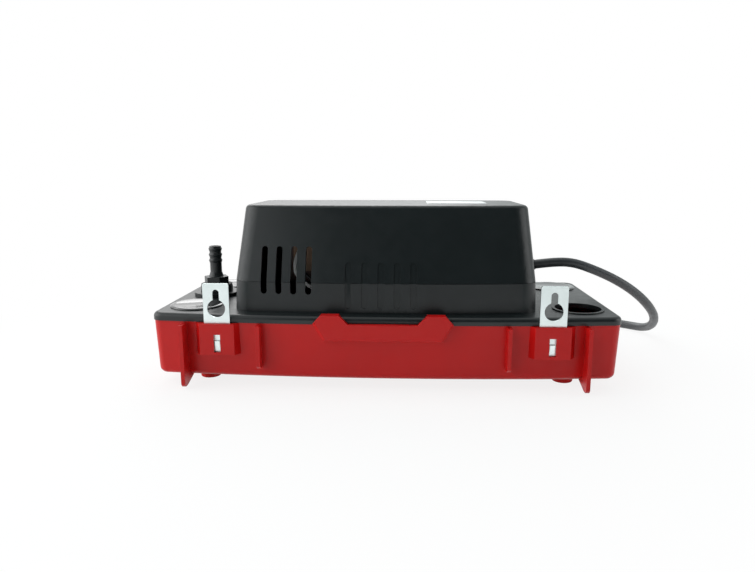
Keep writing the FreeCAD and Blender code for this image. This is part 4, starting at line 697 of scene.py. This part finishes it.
class PUMP_OT_fittings(bpy.types.Operator):
    """Feet, inlet plugs, hangers, the barbed outlet with its valve ball, and the blank label"""
    bl_idname = "pump.fittings"
    bl_label = "Fittings"

    def execute(self, context):
        self.feet()
        self.plugs()
        self.hangers()
        self.outlet()
        self.label()
        return {"FINISHED"}

    def feet(self):
        """Round feet with a grooved tread."""
        rubber = moulded("foot rubber", colours().foot, rough=(0.6, 0.75), grain=1500, depth=0.00005,
                         mottle=0.12, specular=0.35)
        # Depth of the tread, width of its ribs and of their slopes, and rounding of the upper edge
        deep, rib, slope, edge = 0.0003, 0.001, 0.0002, 0.0008
        ribs = 3
        for end in ("left", "right"):
            for face in ("front", "rear"):
                node = "foot_%s_%s" % (face, end)
                low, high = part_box(node)
                radius, tall = (high.x - low.x) / 2, high.z - low.z
                tread = [(0, deep)]
                for number in range(1, ribs + 1):
                    ring = radius * number / (ribs + 1.6)
                    tread += [(ring, deep), (ring + slope, 0), (ring + rib - slope, 0), (ring + rib, deep)]
                side = [(radius * 0.9, deep), (radius * 0.93, 0), (radius * 0.985, 0.0005),
                        (radius, 0.0014), (radius, tall - edge), (radius - 0.0003, tall - 0.0001),
                        (radius - edge, tall), (0, tall)]
                foot = turned(node.replace("foot", "rubber_foot"), tread + side, rubber)
                centre = middle(node)
                placed(foot, Matrix.Translation((centre.x, centre.y, low.z)))
                take(foot, "housing", "foot_rubber", node)

    def plugs(self):
        """Inlet plugs: a dished top with a raised rim, a flange on the deck and a thin skirt."""
        gloss = moulded("polished black", colours().gloss, rough=(0.07, 0.12), grain=700, depth=0.000004,
                        mottle=0.08, specular=0.9, coat=0.5)
        # Radius of the skirt, its wall, thickness of the flange and depth of the dish
        skirt, wall, flange, dish = 0.0172, 0.0022, 0.0016, 0.0003
        for node in ("inlet_plug_rear_left", "inlet_plug_front_left", "inlet_plug_front_right"):
            low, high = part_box(node)
            radius = (high.x - low.x) / 2
            top, seat = high.z, high.z - flange
            profile = [(0, top - dish), (skirt - 0.0012, top - dish), (skirt - 0.0006, top - 0.0001),
                       (skirt, top), (radius - 0.0012, top), (radius - 0.0004, top - 0.0004),
                       (radius, top - 0.0009), (radius, seat), (skirt, seat), (skirt, low.z + 0.0006),
                       (skirt - 0.0005, low.z), (skirt - wall, low.z), (skirt - wall, seat - 0.0020),
                       (0, seat - 0.0022)]
            plug = turned(node.replace("inlet_plug", "plug_cap"), profile, gloss, 96)
            centre = middle(node)
            placed(plug, Matrix.Translation((centre.x, centre.y, 0)))
            take(plug, "housing", "plug_plastic", node)

    def hangers(self):
        """Keyhole strips, and the brackets inside in the same sheet."""
        zinc = metal("bright zinc", colours().zinc, rough=(0.30, 0.42), streak=(1, 1, 14), scale=500,
                     depth=0.000006, cloud=0.05)
        for end in ("left", "right"):
            softened("hanger_" + end, "wall_strip_" + end, zinc, sizes().sheet_round, end + "_hanger",
                     "zinc_sheet")
        dress_all(zinc, "lower_bracket", "upper_bracket", "switch_bracket")

    def outlet(self):
        """The barbed outlet, its washer and hose, and the ball of its valve."""
        black = moulded("outlet black", colours().black, rough=(0.30, 0.4), grain=2600, mottle=0.1,
                        specular=0.55)
        softened("hose_barb", "barbed_outlet", black, 0.0002, slot="black_plastic")
        seal = moulded("seal rubber", (0.012, 0.012, 0.012), rough=(0.55, 0.7), grain=1800, depth=0.00003)
        dress_all(seal, "valve_washer", "inner_hose")
        low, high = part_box("check_ball")
        radius, steps = (high.z - low.z) / 2, 24
        turns = [math.pi * step / steps for step in range(steps + 1)]
        profile = [(radius * math.sin(turn), -radius * math.cos(turn)) for turn in turns[1:-1]]
        ball = turned("valve_sphere", [(0, -radius), *profile, (0, radius)], seal, 48)
        placed(ball, Matrix.Translation(middle("check_ball")))
        take(ball, "valve_ball", "seal_rubber", "check_ball")

    def label(self):
        """A blank film with round corners."""
        low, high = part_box("blank_label")
        corner, steps = 0.003, 8
        left, right, near, far = low.x + corner, high.x - corner, low.y + corner, high.y - corner
        outline = []
        for number, centre in enumerate(((right, far), (left, far), (left, near), (right, near))):
            outline += arc(centre, corner, 90 * number, steps)
        mesh = bpy.data.meshes.new("label_film")
        build = bmesh.new()
        face = build.faces.new([build.verts.new((x, y, low.z)) for x, y in outline])
        lifted = bmesh.ops.extrude_face_region(build, geom=[face])["geom"]
        bmesh.ops.translate(build, vec=(0, 0, high.z - low.z),
                            verts=[item for item in lifted if isinstance(item, bmesh.types.BMVert)])
        bmesh.ops.recalc_face_normals(build, faces=build.faces)
        build.to_mesh(mesh)
        build.free()
        film = moulded("label film", colours().film, rough=(0.3, 0.38), grain=1200, depth=0.000006,
                       mottle=0.015)
        label = linked("label_film", mesh, film)
        take(label, "housing", "label_film", "blank_label")


class PUMP_OT_motor(bpy.types.Operator):
    """The motor: a stack of plates, wire turns, bobbin, rotor, bushes and fan"""
    bl_idname = "pump.motor"
    bl_label = "Motor"

    def execute(self, context):
        self.stack()
        self.winding()
        steel = metal("ground steel", (0.60, 0.61, 0.63), rough=(0.2, 0.32), streak=(14, 14, 1))
        bronze = metal("sintered bronze", (0.42, 0.26, 0.11), rough=(0.4, 0.55), scale=2600, depth=0.00002)
        cast = metal("cast rotor", (0.58, 0.59, 0.60), rough=(0.35, 0.5), streak=(6, 6, 1), depth=0.00003)
        nylon = moulded("brown nylon", (0.085, 0.032, 0.020), rough=(0.35, 0.45), grain=1800, mottle=0.10)
        fan = moulded("fan plastic", (0.022, 0.024, 0.026), rough=(0.38, 0.5), grain=2400)
        dress_all(steel, "motor_shaft", "rocker_pin")
        dress_all(bronze, "lower_bush", "upper_bush")
        dress_all(cast, "rotor")
        dress_all(nylon, "coil_bobbin")
        dress_all(fan, "cooling_fan", "impeller", "volute", "strainer_plate")
        return {"FINISHED"}

    def stack(self):
        """Thin plates cut from the stack's own outline, one on another."""
        low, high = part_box("stator_core")
        sheet = sizes().plate_sheet
        gap = sheet * 0.1
        count = int((high.z - low.z + gap) / (sheet + gap))
        steel = metal("varnished steel", (0.24, 0.165, 0.12), rough=(0.35, 0.5), streak=(1, 1, 12),
                      scale=700, cloud=0.2)
        plates = linked("stack_plates", joined("stator_core"), steel)
        foot = Matrix.Translation((0, 0, low.z))
        placed(plates, foot @ Matrix.Diagonal((1, 1, sheet / (high.z - low.z), 1)) @ foot.inverted())
        step = (high.z - low.z - sheet) / (count - 1)
        grown(plates, row_tree(), Count=count, Step=(0, 0, step), Material=steel)
        take(plates, "housing", "lamination_steel", "stator_core")

    def winding(self):
        """Loops of enamelled wire laid side by side round the coil."""
        low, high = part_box("coil_winding")
        wire = sizes().wire_diameter
        copper = metal("enamelled copper", colours().copper, rough=(0.22, 0.34), scale=800, depth=0.00001,
                       cloud=0.15)
        dress_all(copper, "coil_winding")
        # Rounding of the loops' corners, and the wire's radius, a little small so that no two wires touch
        corner, steps = 0.0022, 5
        radius = wire * 0.48
        wide, tall = (high.x - low.x) / 2 - corner, (high.z - low.z) / 2 - corner
        path = []
        for number, centre in enumerate(((wide, tall), (-wide, tall), (-wide, -tall), (wide, -tall))):
            path += [(x, low.y + wire / 2, z) for x, z in arc(centre, corner, 90 * number, steps)]
        loops = points_mesh("winding_turns", path, closed=True)
        count = int((high.y - low.y) / wire)
        grown(loops, sweep_tree(), Radius=radius, Count=count, Step=(0, wire, 0), Material=copper)
        placed(loops, Matrix.Translation(((low.x + high.x) / 2, 0, (low.z + high.z) / 2)))
        take(loops, "housing", "winding_copper")


class PUMP_OT_float_switch(bpy.types.Operator):
    """The float with its stem, the rocker, and the snap switch with its plunger and leads"""
    bl_idname = "pump.float_switch"
    bl_label = "Float and switch"

    def execute(self, context):
        white = moulded("float white", (0.70, 0.71, 0.71), grain=1500, mottle=0.03)
        dark = moulded("switch black", (0.018, 0.018, 0.02), rough=(0.35, 0.45), grain=2400)
        pale = moulded("white insulation", (0.82, 0.83, 0.82), rough=(0.25, 0.35), grain=1800,
                       depth=0.00001, mottle=0.02)
        deep = moulded("black insulation", (0.012, 0.012, 0.013), rough=(0.25, 0.35), grain=1800,
                       depth=0.00001)
        softened("float", "float_block", white, 0.0003, "float_assembly", "float_plastic")
        dress_all(white, "float_stem")
        dress_all(dark, "snap_switch", "switch_rocker", "switch_plunger")
        dress_all(pale, "lead_white")
        dress_all(deep, "lead_black")
        return {"FINISHED"}


class PUMP_OT_screws(bpy.types.Operator):
    """Domed screw heads with a round drive recess at every fastening"""
    bl_idname = "pump.screws"
    bl_label = "Screws"

    def execute(self, context):
        steel = metal("plated screw steel", (0.66, 0.66, 0.64), rough=(0.2, 0.32), scale=1200)
        # 1 where the heads face up, -1 where they face down
        groups = {"stator_screws": 1, "motor_mount_screws": 1, "volute_screws": -1, "bracket_screws": 1,
                  "cover_screws": -1}
        dress_all(steel, *groups)
        for node, up in groups.items():
            self.heads(node, up, steel)
        return {"FINISHED"}

    def heads(self, node, up, steel):
        """Domed heads on the node's own screws, which are found by how near their points lie."""
        low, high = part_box(node)
        radius = 0.0036
        reach = 2.2 * radius
        screws = []
        for vertex in NODES[node].data.vertices:
            place = vertex.co.xy.copy()
            screw = next((near for near in screws if (near[0] - place).length < reach), None)
            if screw is None:
                screws.append([place])
            else:
                screw.append(place)
        centres = []
        for screw in screws:
            across, along = [place.x for place in screw], [place.y for place in screw]
            centres.append(((min(across) + max(across)) / 2, (min(along) + max(along)) / 2,
                            high.z if up > 0 else low.z))
        head = turned("screw_head_shape", self.dome(radius), steel, 32)
        if up < 0:
            placed(head, Matrix.Rotation(math.pi, 4, "X"))
        points = points_mesh(node.replace("screws", "heads"), centres)
        grown(points, places_tree(), Piece=head, Material=steel)
        bpy.data.objects.remove(head)
        take(points, "housing", "screw_steel")

    def dome(self, radius):
        """A low dome over a screw head, with a round drive recess."""
        recess = radius * 0.35
        return [(0, -0.0009), (recess * 0.6, -0.0008), (recess, 0.00045), (radius * 0.6, 0.0003),
                (radius * 0.9, 0.00005), (radius, -0.0003), (radius * 0.98, -0.001), (0, -0.0011)]


# The cord comes after the plug and the strain relief
PIECES = (PUMP_OT_stage, PUMP_OT_plug, PUMP_OT_strain_relief, PUMP_OT_cord, PUMP_OT_casings,
          PUMP_OT_fittings, PUMP_OT_motor, PUMP_OT_float_switch, PUMP_OT_screws)


class PUMP_PT_finishes(bpy.types.Panel):
    """The pieces of the pump, in the order in which they are built"""
    bl_label = "Condensate Pump"
    bl_idname = "PUMP_PT_finishes"
    bl_space_type = "VIEW_3D"
    bl_region_type = "UI"
    bl_category = "Pump"

    def draw(self, context):
        for piece in PIECES:
            self.layout.operator(piece.bl_idname)
        for group in (context.scene.pump_sizes, context.scene.pump_colours):
            for name in group.bl_rna.properties.keys():
                if name not in ("name", "rna_type"):
                    self.layout.prop(group, name)


CLASSES = (PumpSizes, PumpColours, *PIECES, PUMP_PT_finishes)


def register():
    for kind in CLASSES:
        bpy.utils.register_class(kind)
    bpy.types.Scene.pump_sizes = bpy.props.PointerProperty(type=PumpSizes)
    bpy.types.Scene.pump_colours = bpy.props.PointerProperty(type=PumpColours)


def unregister():
    del bpy.types.Scene.pump_colours
    del bpy.types.Scene.pump_sizes
    for kind in reversed(CLASSES):
        bpy.utils.unregister_class(kind)


def main():
    """Build everything."""
    register()
    for piece in PIECES:
        group, name = piece.bl_idname.split(".")
        getattr(getattr(bpy.ops, group), name)()


if __name__ == "__main__":
    main()
